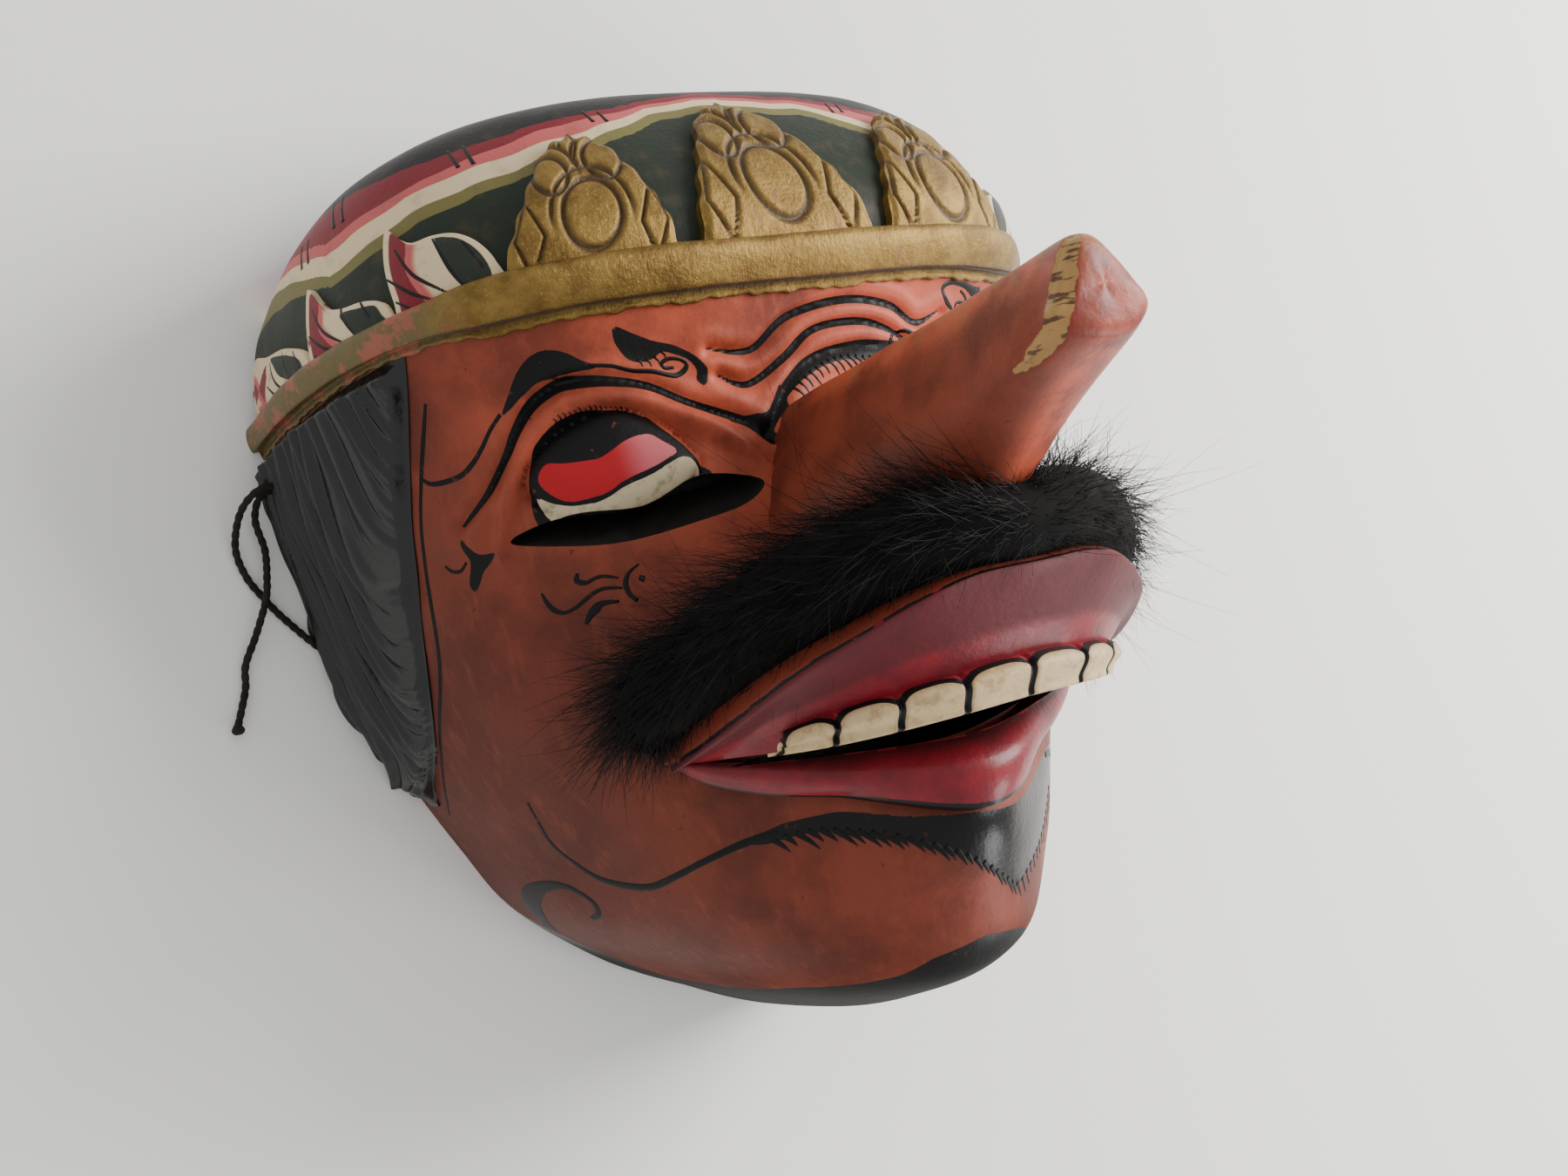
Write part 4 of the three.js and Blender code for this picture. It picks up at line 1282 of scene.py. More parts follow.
FLICK_WAVE = [[-54, 0.441, 0.25], [-53.3, 0.4455, 0.4], [-52, 0.447, 0.4], [-50.8, 0.443, 0.3]]
CHEEK_CURLS = [
    [[-37.5, 0.467, 0.35], [-38, 0.471, 0.7], [-37, 0.4733, 0.5], [-36, 0.4723, 0.4],
     [-35, 0.4718, 0.4], [-34, 0.473, 0.35], [-33, 0.475, 0.2]],
    [[-42.7, 0.473, 0.25], [-42.5, 0.479, 0.5], [-42, 0.484, 0.6], [-41, 0.487, 0.4],
     [-39.5, 0.486, 0.4], [-38, 0.483, 0.45], [-36.5, 0.48, 0.45], [-35, 0.479, 0.4],
     [-33, 0.481, 0.25]],
    [[-30, 0.47, 0.2], [-31.4, 0.473, 0.35], [-32.2, 0.477, 0.55], [-32.5, 0.481, 0.6],
     [-32.4, 0.486, 0.5], [-31.8, 0.49, 0.5]],
    [[-30.6, 0.4775, 0.6], [-30, 0.479, 0.75]],
    [[-39, 0.4965, 0.4], [-38, 0.492, 0.8], [-37, 0.489, 1.0], [-36, 0.487, 0.65],
     [-34, 0.488, 0.3]],
]
CHEEK_LINE = [[-62.5, 0.603, 0.3], [-63.3, 0.618, 0.5], [-64, 0.636, 0.6], [-62.5, 0.653, 0.65],
              [-60, 0.667, 0.8], [-56, 0.6745, 0.95], [-52, 0.676, 0.9], [-47.5, 0.669, 0.8],
              [-43, 0.661, 0.75], [-38, 0.6535, 0.8], [-34, 0.649, 0.9], [-30, 0.6475, 0.8]]
BEARD_TOP = [[-35.5, 0.6485], [-31.5, 0.644], [-27.5, 0.6405], [-20, 0.641], [-12, 0.653],
             [-2, 0.661], [9, 0.665], [19, 0.658], [29, 0.645], [38, 0.647]]
BEARD_FOOT = [[-32.5, 0.653], [-25, 0.651], [-16.5, 0.662], [-7.5, 0.682], [-1, 0.698],
              [5, 0.714], [11, 0.727], [17, 0.717], [22, 0.707], [28, 0.69], [33, 0.672]]
JAW_CURL = [[-85, 0.735, 2.0], [-82, 0.712, 2.8], [-79.3, 0.695, 2.8], [-76, 0.683, 2.3],
            [-72.3, 0.676, 1.6], [-68.5, 0.6745, 1.1], [-65.8, 0.681, 0.9], [-64.4, 0.692, 0.85],
            [-65.4, 0.703, 0.9], [-67.6, 0.7085, 0.75]]
CAP_TICKS = [[-65.5, 0.216, 0.236], [-57.3, 0.208, 0.231], [-38.8, 0.221, 0.237],
             [-20.8, 0.215, 0.226]]
CHIN_EDGE = [[0, 0.757], [14, 0.765], [22, 0.777], [31, 0.784], [44, 0.789], [60, 0.799],
             [73, 0.794], [80, 0.767], [90, 0.72]]

# %% Strokes that differ from side to side
NOTCH = [[-12, 0.387], [-9, 0.386], [-6.5, 0.386], [-5, 0.379], [-3.5, 0.367], [-2.6, 0.376],
         [-2.8, 0.386], [-4.5, 0.392], [-6, 0.402], [-7, 0.414], [-8, 0.409], [-9, 0.403],
         [-10, 0.394]]
RAISED_BLACK = [[-4, 0.372], [0, 0.357], [4.5, 0.351], [8.5, 0.349], [12, 0.351], [17, 0.354],
                [20, 0.356], [17, 0.36], [12, 0.359], [8, 0.357], [4.5, 0.359], [1, 0.365],
                [-1.5, 0.373], [-3, 0.379]]
RAISED_HAIRS = [[-1.5, 0.373], [1, 0.365], [4.5, 0.358], [8, 0.356], [12, 0.358], [17, 0.36]]
RIGHT_CURL = [[30.5, 0.341, 0.35], [28.5, 0.336, 0.5], [26.6, 0.33, 0.6], [26.2, 0.325, 0.6],
              [28, 0.3225, 0.65], [31, 0.3235, 0.8], [33.5, 0.326, 1.4], [35, 0.325, 1.1]]
RIGHT_CURL_TAIL = [[30, 0.326, 0.4], [31.2, 0.3285, 0.45], [31.5, 0.3315, 0.5],
                   [29.6, 0.3315, 0.45], [29, 0.334, 0.45], [30.5, 0.3365, 0.55],
                   [33, 0.335, 0.55], [35.5, 0.331, 0.5], [39, 0.327, 0.6], [43, 0.322, 0.8]]
RIGHT_EYEBROW = [[a + 79, d + 0.008] for a, d in EYEBROW[::-1]]


def hairy_edge(edge, count, length, lean, half_width=0.38):
    """Short tapered hairs along an edge. Each points down the face and leans to one side."""
    dense = np.linspace(0, 1, 200)
    gone = walked(on_skin(*through(edge, dense).T))
    places = np.interp(np.linspace(0.02, 0.98, count) * gone[-1], gone, dense)
    ticks = []
    for place in places:
        across, down = through(edge, place)
        reach = length * (0.65 + 0.7 * rng.random())
        tip = [across + lean * reach, down + reach]
        root = [across, down - 0.2 * length]
        middle = [(root[0] + tip[0]) / 2 + 0.2, (root[1] + tip[1]) / 2]
        ticks.append([[*root, half_width], [*middle, 0.8 * half_width], [*tip, 0.1]])
    return ticks


both_sides = [HAIR_LINE, TEMPLE_LINE, EYEBROW_CURL, FLICK_WAVE, *CHEEK_CURLS, CHEEK_LINE]
both_sides += [JAW_CURL, *hairy_edge(LASHES, 15, -0.0028, 60, 0.2)]
for across, top, foot in CAP_TICKS:
    both_sides.append([[across, top, 0.3], [across + 0.7, foot, 0.5]])
    both_sides.append([[across + 2, top + 0.001, 0.3], [across + 2.5, foot + 0.001, 0.5]])
grooves = [OUTER_BROW, tapered_route(LOW_WRINKLE, 0.8),
           tapered_route(HIGH_WRINKLE, 0.8), tapered_route(RAISED_BROW, 1.05)]
one_side = [RIGHT_CURL, RIGHT_CURL_TAIL, *hairy_edge(FLAME_HAIRS, 4, 0.0026, 200, 0.3)]
one_side += hairy_edge(RAISED_HAIRS, 17, 0.0085, 200)
one_side += hairy_edge(BEARD_FOOT, 38, 0.01, 190, 0.68)
strokes = both(both_sides) + one_side
patches = both([EYE_BLACK, FLICK])
patches += [EYEBROW, FLAME, NOTCH, RAISED_BLACK, RIGHT_EYEBROW, BEARD_TOP + BEARD_FOOT[::-1]]
print(len(strokes), "strokes and", len(patches), "patches")

# %% [markdown]
# Paint has a thickness, and a brush stroke stands a little proud of the coat below it. The
# strokes are therefore thin bodies on the skin, a low arch across the stroke's own width,
# which also keeps them crisp however fine the skin's grid is. Filled shapes are too broad for
# that. They, and the lines in the carved grooves, are coloured in the skin itself.

# %% Brush strokes
STROKE_STEP = 0.5
STROKE_SIDE = np.array([-1, -0.75, -0.3, 0.3, 0.75, 1])
STROKE_RISE = np.array([-0.12, 0.05, 0.09, 0.09, 0.05, -0.12])


def stroke_rings(route):
    """Points of the plain form across a stroke, a row for each step, and the normals there."""
    rough = on_skin(*through(route, np.linspace(0, 1, 40))[:, :2].T)
    steps = max(5, int(walked(rough)[-1] / STROKE_STEP))
    line = through(route, np.linspace(0, 1, steps))
    middle = on_skin(line[:, 0], line[:, 1])
    up = outward(line[:, 0], line[:, 1])
    side = unit(np.cross(up, np.gradient(middle, axis=0)))
    flat = middle[:, None] + side[:, None] * (STROKE_SIDE * line[:, 2:3])[..., None]
    return flat, np.broadcast_to(up[:, None], flat.shape)


rings = [stroke_rings(route) for route in strokes]
flat, up = (np.concatenate(part) for part in zip(*rings))
height = carved_height(flat.reshape(-1, 3)).reshape(flat.shape[:2]) + STROKE_RISE
ends = np.cumsum([len(ring) for ring, _ in rings])[:-1]
stroke_bodies = [body_from_rings(part) for part in np.split(flat + up * height[..., None], ends)]
brush_strokes = new_object("brush_strokes", *merged(stroke_bodies), ink_paint)
print("strokes:", len(brush_strokes.data.vertices), "points")

# %% [markdown]
# The cuts have changed the mesh of the mask, so the painted patches are measured on the finished
# one. Every vertex keeps its distance to the nearest black edge, and to the edges of the red and
# the white of the eyes.

# %% Where the paint lies on the finished mesh
DOWN_IN_MILLIMETRES = 190  # about the way from crown to chin
LARGEST_RELIEF = 6  # a vertex further from its place on the plain form was made by a cut


def painted_places(piece):
    """The point of the plain form under each vertex, and its (across, down). Vertices made by
    the cuts have none: they take those of the nearest of a thin selection of skin points, and
    keep their own point."""
    points = places_of(piece)
    across, down = get_values(piece, "across"), get_values(piece, "down")
    base = on_skin(across, down)
    lost = np.linalg.norm(base - points, axis=1) > LARGEST_RELIEF
    thin = (slice(None, None, 7), slice(None, None, 7))
    _, index = nearest(points[lost], skin_base[thin].reshape(-1, 3))
    across[lost] = skin_across[thin].ravel()[index]
    down[lost] = skin_down[thin].ravel()[index]
    base[lost] = points[lost]
    return base, across, down


base, across, down = painted_places(mask)
chin_edge = np.interp(np.abs(across), *np.array(CHIN_EDGE).T)
ink = np.minimum(least(stroke_distance, base, grooves), least(patch_distance, base, patches))
set_values(
    mask,
    ink=np.minimum(ink, (chin_edge - down) * DOWN_IN_MILLIMETRES),
    eye_red=least(patch_distance, base, both([EYE_RED])),
    eye_white=least(patch_distance, base, both([EYE_WHITE])),
    across=across,
    down=down,
)
print(int((ink < 0).sum()), "of", len(base), "vertices are inked")

# %% [markdown]
# Above the headband the cap is striped: black at the top, then dark red, pink, cream and olive,
# and dark green down to the band. The stripes follow the band but bow a little, so each edge
# between two colours is its own curve, and one number tells a vertex which stripe it is in.

# %% Stripes of the cap
STRIPE_ACROSS = [0, 12, 22, 33, 44, 59, 74, 90]
STRIPE_EDGES = [
    [0.2, 0.208, 0.22, 0.224, 0.2245, 0.209, 0.188, 0.165],
    [0.207, 0.213, 0.2235, 0.2305, 0.238, 0.237, 0.205, 0.185],
    [0.21, 0.217, 0.2335, 0.238, 0.2425, 0.2435, 0.214, 0.195],
    [0.218, 0.2235, 0.24, 0.248, 0.2525, 0.257, 0.2235, 0.205],
    [0.2225, 0.23, 0.2455, 0.2525, 0.259, 0.2615, 0.238, 0.22],
]


def stripe_number(across, down):
    """0 above the first edge, then 1, 2 and so on; it climbs in a straight line in between."""
    wobble = 0.0009 * np.sin(across / 3.1) + 0.0006 * np.sin(across / 1.3 + 1)
    edges = [np.interp(np.abs(across), STRIPE_ACROSS, row) + wobble for row in STRIPE_EDGES]
    number = np.clip((down - edges[0]) / 0.05, -1, 0)
    for upper, lower in zip(edges[:-1], edges[1:]):
        number += np.clip((down - upper) / (lower - upper), 0, 1)
    return number + np.clip((down - edges[-1]) / 0.02, 0, 1)


set_values(mask, stripe=stripe_number(across, down))

# %% [markdown]
# The headband is one carved moulding that runs round the head. A moulding is its profile carried
# along a line, so a profile and a line are all that it takes. Its ragged lower edge is a little
# noise added to the profile's foot.

# %% Headband
BAND_STEPS, PROFILE_STEPS = 420, 61
BAND_PROFILE = [[4.3, ROOT], [4.3, 2.3], [4.0, 3.2], [3.2, 3.9], [1.6, 4.3], [-0.6, 4.25],
                [-2.4, 3.9], [-3.5, 3.5], [-3.8, 3.0], [-3.6, 1.6], [-3.8, 0.6], [-4.4, 0.5],
                [-5.4, 0.75], [-6.0, 0.65], [-6.2, 0.2], [-6.4, ROOT]]


def band_body():
    """The profile carried along the headband's line; it is lower at the sides of the head."""
    across = spaced(-90, 90, BAND_STEPS, lambda a: step_length(on_skin(a, 0.3)))
    down = 0.308 - 0.0145 * (across / 90) ** 2
    start = on_skin(across, down)
    up = outward(across, down)
    side = unit(np.cross(up, np.gradient(start, axis=0)))
    height = 1 - 0.35 * smoothstep(36, 50, np.abs(across))
    height += 0.02 * np.sin(across / 4.1) + 0.012 * np.sin(across / 1.3 + 2)
    to_side, rise = through(BAND_PROFILE, np.linspace(0, 1, PROFILE_STEPS)).T
    sideways = to_side * height[:, None]
    ragged = 0.3 * np.sin(across / 1.1) * np.sin(across / 2.7 + 1) + 0.15 * np.sin(across / 0.43)
    sideways += ragged[:, None] * smoothstep(-4.8, -5.8, to_side)
    high = np.where(rise > 0, rise * height[:, None], rise)
    rings = start[:, None] + side[:, None] * sideways[..., None] + up[:, None] * high[..., None]
    body = body_from_rings(above_ground(rings))
    return body, np.repeat(across, PROFILE_STEPS), np.tile(to_side, BAND_STEPS)


band, band_across, band_side = band_body()
headband = new_object("headband", *band, gold_paint)
# The groove under the bar is marked for painted shade.
groove = np.exp(-((band_side + 4.0) / 0.45) ** 2)
set_values(headband, across=np.append(band_across, [-90, 90]), cavity=np.append(groove, [0, 0]))
headband.data.set_sharp_from_angle(angle=math.radians(40))
print("headband:", len(headband.data.vertices), "points")

# %% [markdown]
# Three gilded plates stand on the headband. Each is a disc of points stretched to the plate's
# outline, so that the rows follow its edge. The rings and lines that the knife cut into it are
# heights taken off the disc, and the same depth darkens the gold in the cuts as painted shade.

# %% Crest plates
PLATES = [  # left foot, right foot, down of the foot, peak
    [-36.5, -17, 0.295, [-25, 0.24]],
    [-13, 12, 0.292, [-2, 0.226]],
    [16, 38, 0.294, [26, 0.232]],
]
PLATE_EDGE = [[1, 0], [0.97, 0.14], [0.88, 0.24], [0.83, 0.36], [0.72, 0.46], [0.66, 0.58],
              [0.54, 0.68], [0.48, 0.8], [0.32, 0.88], [0.22, 0.97], [0.08, 0.97]]
FOOT_UNDER_BAND = -0.16
BOSSES = [[0.02, 0.27, 0.34], [-0.36, 0.64, 0.2], [0.3, 0.72, 0.23]]
LOBES = [[-0.72, 0.16, 0.25], [0.75, 0.14, 0.25], [-0.05, 0.9, 0.16]]
PLATE_HALF_WIDTH, PLATE_TALL = 14.0, 17.0  # rough size of a plate in millimetres
PLATE_RINGS, PLATE_TURNS = 70, 260


def plate_outline(share):
    """Outline in (side, high), a smooth ring whose foot is tucked under the headband."""
    half = np.array(PLATE_EDGE, float)
    foot = [[x, FOOT_UNDER_BAND] for x in (-1, -0.5, 0, 0.5, 1)]
    ring = np.concatenate([half, [[0, 1.03]], half[::-1] * [-1, 1], foot])
    return closed_curve(ring, share)


def plate_carving(side, high):
    """Depth of the knife cuts in a plate, in millimetres: round every boss a ring and a second
    one that is open at its foot, and a pointed outline round every lobe."""
    cuts = [np.zeros(side.shape)]
    for middle_side, middle_high, radius in BOSSES:
        up = (high - middle_high) * PLATE_TALL
        away = np.hypot((side - middle_side) * PLATE_HALF_WIDTH, up)
        ring = radius * PLATE_HALF_WIDTH
        above = smoothstep(-0.6, 0.4, up / ring)
        outer = 0.8 * np.exp(-((away - ring - 1.9) / 0.4) ** 2) * above
        cuts += [0.85 * np.exp(-((away - ring) / 0.45) ** 2), outer * (away > ring)]
    for middle_side, middle_high, radius in LOBES:
        right = np.abs(side - middle_side) * PLATE_HALF_WIDTH
        up = np.abs(high - middle_high) * PLATE_TALL
        pointed = right * 1.5 + up * 0.7 - radius * PLATE_HALF_WIDTH
        cuts.append(0.7 * np.exp(-(pointed / 0.45) ** 2))
    return np.maximum.reduce(cuts)


def polar(outline, ring_count, turn_count):
    """A disc of points: shares of the way from the middle to the outline."""
    share = np.linspace(0, 1, ring_count)[:, None, None]
    edge = outline(np.linspace(0, 1, turn_count, endpoint=False))
    middle = edge.mean(axis=0)
    return middle + (edge[None] - middle) * np.maximum(share, 0.02)


def relief_rings(across, down, height):
    """A disc in relief: its top, then a wall down to its root and a bottom under the skin."""
    root = lifted(across[[-1, 0]], down[[-1, 0]], ROOT)
    return np.concatenate([lifted(across, down, height), root])


def plate_body(left, right, foot, peak):
    """A plate as a disc of points, domed a little, cut by its carving and rooted in the cap.
    Also gives the depth of its cuts for each point."""
    side, high = np.moveaxis(polar(plate_outline, PLATE_RINGS, PLATE_TURNS), -1, 0)
    lean = (peak[0] - (left + right) / 2) * high
    across = (left + right) / 2 + lean + side * (right - left) / 2
    down = foot + (peak[1] - foot) * high
    depth = plate_carving(side, high)
    rim = smoothstep(1.0, 0.9, np.linspace(0, 1, PLATE_RINGS))[:, None]
    rings = relief_rings(across, down, 1.9 + 0.7 * rim - depth * (0.25 + 0.75 * rim))
    return body_from_rings(rings), np.append(depth, np.zeros(2 * PLATE_TURNS + 2))


plates = [plate_body(*plate) for plate in PLATES]
crest = new_object("crest_plates", *merged([body for body, _ in plates]), gold_paint)
set_values(crest, cavity=np.concatenate([depth for _, depth in plates]))
set_values(crest, across=np.zeros(len(crest.data.vertices)))
crest.data.set_sharp_from_angle(angle=math.radians(50))
print("crest plates:", len(crest.data.vertices), "points")

# %% [markdown]
# Beside the plates the crest goes on in three low leaves on each side. They are discs again.
# Their lobes and veins are painted, so they are kept as distances, as on the face. The leaves
# on the right are the reflection of those on the left.

# %% Crest leaves
LEAVES = [
    [[-48.5, 0.256], [-47.5, 0.262], [-46, 0.268], [-43.5, 0.269], [-41, 0.272], [-39, 0.279],
     [-37.5, 0.29], [-37, 0.302], [-43, 0.304], [-49, 0.304], [-49.8, 0.29], [-50, 0.276],
     [-49.5, 0.265]],
    [[-62.5, 0.256], [-61, 0.266], [-59.5, 0.274], [-57, 0.279], [-54, 0.282], [-51.5, 0.287],
     [-50.5, 0.294], [-50.2, 0.302], [-57, 0.304], [-64, 0.304], [-65, 0.292], [-64.8, 0.278],
     [-63.8, 0.265]],
    [[-84, 0.25], [-78, 0.261], [-71.5, 0.27], [-67, 0.281], [-65.5, 0.292], [-65.8, 0.301],
     [-72, 0.302], [-82, 0.295], [-87, 0.278], [-87, 0.258]],
]
LEAF_RED = [
    [[-48.5, 0.257], [-46.5, 0.265], [-47.3, 0.282], [-45.5, 0.303], [-48.5, 0.303], [-50, 0.279]],
    [[-63, 0.255], [-60.5, 0.266], [-61.5, 0.282], [-59, 0.301], [-64.5, 0.301], [-64.8, 0.274]],
    [[-89, 0.253], [-84.5, 0.266], [-81, 0.285], [-86, 0.285], [-88.5, 0.267]],
]
LEAF_GREEN = [
    [[-43.3, 0.271], [-42, 0.2725], [-40.5, 0.276], [-39, 0.284], [-38.2, 0.294], [-38.7, 0.2985],
     [-41, 0.299], [-42.5, 0.287]],
    [[-57.3, 0.282], [-54.5, 0.2845], [-52, 0.288], [-51, 0.294], [-51.2, 0.3], [-52.5, 0.303],
     [-54, 0.302], [-56.3, 0.291]],
    [[-76, 0.266], [-71, 0.275], [-68, 0.283], [-66.8, 0.29], [-66.2, 0.296], [-69, 0.294],
     [-73, 0.284], [-75, 0.273]],
]
LEAF_VEINS = [
    [[-48, 0.268, 0.2], [-46.5, 0.284, 0.35], [-42.5, 0.299, 0.2]],
    [[-50, 0.279, 0.2], [-47.5, 0.29, 0.35], [-45, 0.297, 0.2]],
    [[-49.5, 0.291, 0.2], [-46.5, 0.301, 0.3]],
    [[-43.5, 0.271, 0.2], [-42.5, 0.287, 0.35], [-41, 0.299, 0.2]],
    [[-40.5, 0.277, 0.2], [-39, 0.291, 0.3]],
]
LEAF_STEP = 14.2  # degrees from one leaf to the next
LEAF_RINGS, LEAF_TURNS = 40, 170


def leaf_body(outline):
    """A leaf in low relief. Also gives (across, down) of each point and its share of the way
    to the edge, which steer the painting."""
    disc = polar(lambda share: closed_curve(outline, share), LEAF_RINGS, LEAF_TURNS)
    share = np.linspace(0, 1, LEAF_RINGS)[:, None] + np.zeros((1, LEAF_TURNS))
    rings = relief_rings(disc[..., 0], disc[..., 1], 1.3 + 0.7 * (1 - share ** 2))
    places = np.concatenate([disc.reshape(-1, 2), disc[-1], disc[0], disc[:1, 0], disc[-1:, 0]])
    edge = np.append(share, np.ones(2 * LEAF_TURNS + 2))
    return body_from_rings(above_ground(rings)), places, edge


def reflected(body):
    """The same body on the other half of the mask."""
    points, faces = body
    return points * [-1, 1, 1], faces


leaf_parts = [leaf_body(outline) for outline in LEAVES]
leaf_bodies, leaf_places, leaf_edges = zip(*leaf_parts)
leaf_bodies = [*leaf_bodies, *[reflected(body) for body in leaf_bodies]]
leaves = new_object("crest_leaves", *merged(leaf_bodies), leaf_paint)
leaf_base = on_skin(*np.concatenate(leaf_places).T)
veins = [
    [[a - LEAF_STEP * leaf, d, width] for a, d, width in route]
    for leaf in range(len(LEAVES)) for route in LEAF_VEINS
]
set_values(
    leaves,
    leaf_red=np.tile(least(patch_distance, leaf_base, LEAF_RED), 2),
    leaf_green=np.tile(least(patch_distance, leaf_base, LEAF_GREEN), 2),
    vein=np.tile(least(stroke_distance, leaf_base, veins), 2),
    leaf_edge=np.concatenate(leaf_edges * 2),
)
print("leaves:", len(leaves.data.vertices), "points")

# %% [markdown]
# The carved hair at the temples is black, combed down from the headband in fine strands that
# sweep forward to the edge of the face.

# %% Temple hair
HAIR_FRONT = [[-50.2], [-53], [-56.6], [-60], [-64.5], [-72.5], [-84.5]]
STRAND_WIDTH = 2.3


def hair_body():
    """A patch from the front edge of the hair to the rim. The strands are the level lines of a
    flow that grows with the distance from the front edge and with the way down: at the back
    they run down the head, near the front they turn towards the face. Also gives how worn
    each point is."""
    t = np.linspace(0, 1, 230)[:, None]
    s = np.linspace(0, 1, 165)[None, :]
    front = through(HAIR_FRONT, t[:, 0])
    across = front + (-90 - front) * s * (1 - 0.5 * smoothstep(0.88, 1.0, t) ** 2)
    down = 0.314 + 0.29 * t + 0 * s
    base = on_skin(across, down)
    back = walked(base, axis=1)
    along = walked(base, axis=0)
    wave = 4.2 * np.sin(along / 12 + back / 9) * np.exp(-((back - 13) / 13) ** 2)
    near_front = np.exp(-back / 7)
    flow = back + 6.0 * near_front + 0.5 * along + wave
    lock = 0.5 + 0.5 * np.sin(2 * np.pi * flow / (STRAND_WIDTH * 4) + along / 19)
    fine = np.abs(np.sin(np.pi * flow / STRAND_WIDTH + 0.8 * np.sin(flow / 3.7 + along / 23)))
    finer = np.abs(np.sin(2 * np.pi * flow / STRAND_WIDTH))
    strand = fine + (finer - fine) * near_front * 0.7
    strand *= (0.7 + 0.3 * np.sin(flow * 1.3 + along / 8)) * (0.25 + 0.75 * smoothstep(0, 0.15, s))
    body = 1.0 + 0.9 * lock + 0.5 * np.sin(along / 13 + back / 21)
    edge = smoothstep(0, 0.055, s) * smoothstep(1, 0.93, t) * smoothstep(0, 0.02, t)
    height = 0.35 + (body + 1.8 * strand) * edge
    top = lifted(across, down, height)
    under = lifted(across[:, [0, -1]], down[:, [0, -1]], ROOT)
    worn = smoothstep(0.94, 1.0, t) * strand + 0.3 * strand * smoothstep(0.85, 1.0, s)
    worn = np.pad(np.broadcast_to(worn, back.shape), ((0, 0), (1, 1)))
    rings = np.concatenate([under[:, :1], top, under[:, 1:]], axis=1)
    return body_from_rings(above_ground(rings)), np.append(worn, [0, 0])


left_hair, worn = hair_body()
side_hair = new_object("side_hair", *merged([left_hair, reflected(left_hair)]), hair_paint)
set_values(side_hair, worn=np.tile(worn, 2))
side_hair.data.set_sharp_from_angle(angle=math.radians(60))
print("side hair:", len(side_hair.data.vertices), "points")

# %% [markdown]
# The moustache is a lock of real hair, fixed under the nose. A dark core fills it, and thousands
# of thin hairs grow out of the core. Each hair is a three-sided tube, which is round enough at a
# tenth of a millimetre, and all tubes of a kind are made at once, as arrays.

# %% Moustache
MOUSTACHE = [[0, -17, 118.5, 7.5], [12, -16, 115.5, 8.5], [23, -17.5, 109, 9],
             [33, -21, 98, 9.5], [41, -26, 85, 9], [47, -30.5, 74, 8], [48, -36, 67, 4.5]]
CORE_SHARE = 0.86
TO_CHIN = (0, -1, 0)
HAIR_REFERENCE = (0.31, 0.86, 0.41)  # a direction that hardly any hair follows


def moustache_core():
    """A round lock along the moustache's line, a little thinner than the hairs round it."""
    line = through(mirrored(MOUSTACHE), np.linspace(0, 1, 90))
    along = unit(np.gradient(line[:, :3], axis=0))
    radius = line[:, 3, None, None] * CORE_SHARE
    return body_from_rings(line[:, None, :3] + ring_directions(along, TO_CHIN, turns(40)) * radius)


def hair_routes(count, length, spread, sections=6, curl=0.45):
    """Points along hairs that are rooted in the core. Each hair starts outward along the
    moustache and bends down with its own small curl: a parabola from its root."""
    place = rng.uniform(0.02, 0.98, count)
    from_middle = np.abs(2 * place - 1)[:, None]
    line = through(mirrored(MOUSTACHE), place)
    ahead = through(mirrored(MOUSTACHE), place + 0.01)
    along = unit(ahead[:, :3] - line[:, :3]) * np.sign(place - 0.5)[:, None]
    side, up = two_normals(along, TO_CHIN)
    turn = rng.uniform(0, 2 * np.pi, count)[:, None]
    radial = side * np.cos(turn) + up * np.sin(turn)
    root = line[:, :3] + radial * line[:, 3:] * rng.uniform(0.5, 0.95, (count, 1))
    start = radial * rng.uniform(0.1, spread, (count, 1))
    start += along * rng.uniform(0.5, 1.1, (count, 1))
    start = unit(start + rng.normal(0, 0.22, (count, 3)))
    bend = np.array([0, -0.2, -0.25]) + rng.normal(0, curl, (count, 3))
    over_lip = smoothstep(-0.1, -0.7, radial[:, 1:2]) * smoothstep(1.0, 0.85, from_middle)
    at_end = smoothstep(0.9, 1.0, from_middle)
    reach = length * rng.uniform(0.5, 1.2, (count, 1)) * (1 - 0.6 * over_lip) * (1 - 0.45 * at_end)
    step = np.linspace(0, 1, sections)[:, None]
    return root[:, None] + (start[:, None] * step + bend[:, None] * step ** 2 / 2) * reach[:, None]


def thin_tubes(routes, width):
    """Three-sided tubes along the routes, as one body. They taper and are closed at both ends."""
    count, sections = routes.shape[:2]
    along = unit(np.gradient(routes, axis=1))
    radius = width * (1 - 0.75 * np.linspace(0, 1, sections))
    ring = ring_directions(along, HAIR_REFERENCE, turns(3)) * radius[:, None, None]
    first = (np.arange(count) * sections * 3)[:, None, None]
    i, j = np.meshgrid(np.arange(sections - 1), np.arange(3), indexing="ij")
    a = first + i * 3 + j
    b = first + i * 3 + (j + 1) % 3
    quads = np.stack([a, b, b + 3, a + 3], axis=-1).reshape(-1, 4)
    ends = first[:, :, 0]
    caps = np.concatenate([ends + [2, 1, 0], ends + (sections - 1) * 3 + [0, 1, 2]])
    return (routes[:, :, None] + ring).reshape(-1, 3), [quads, caps]


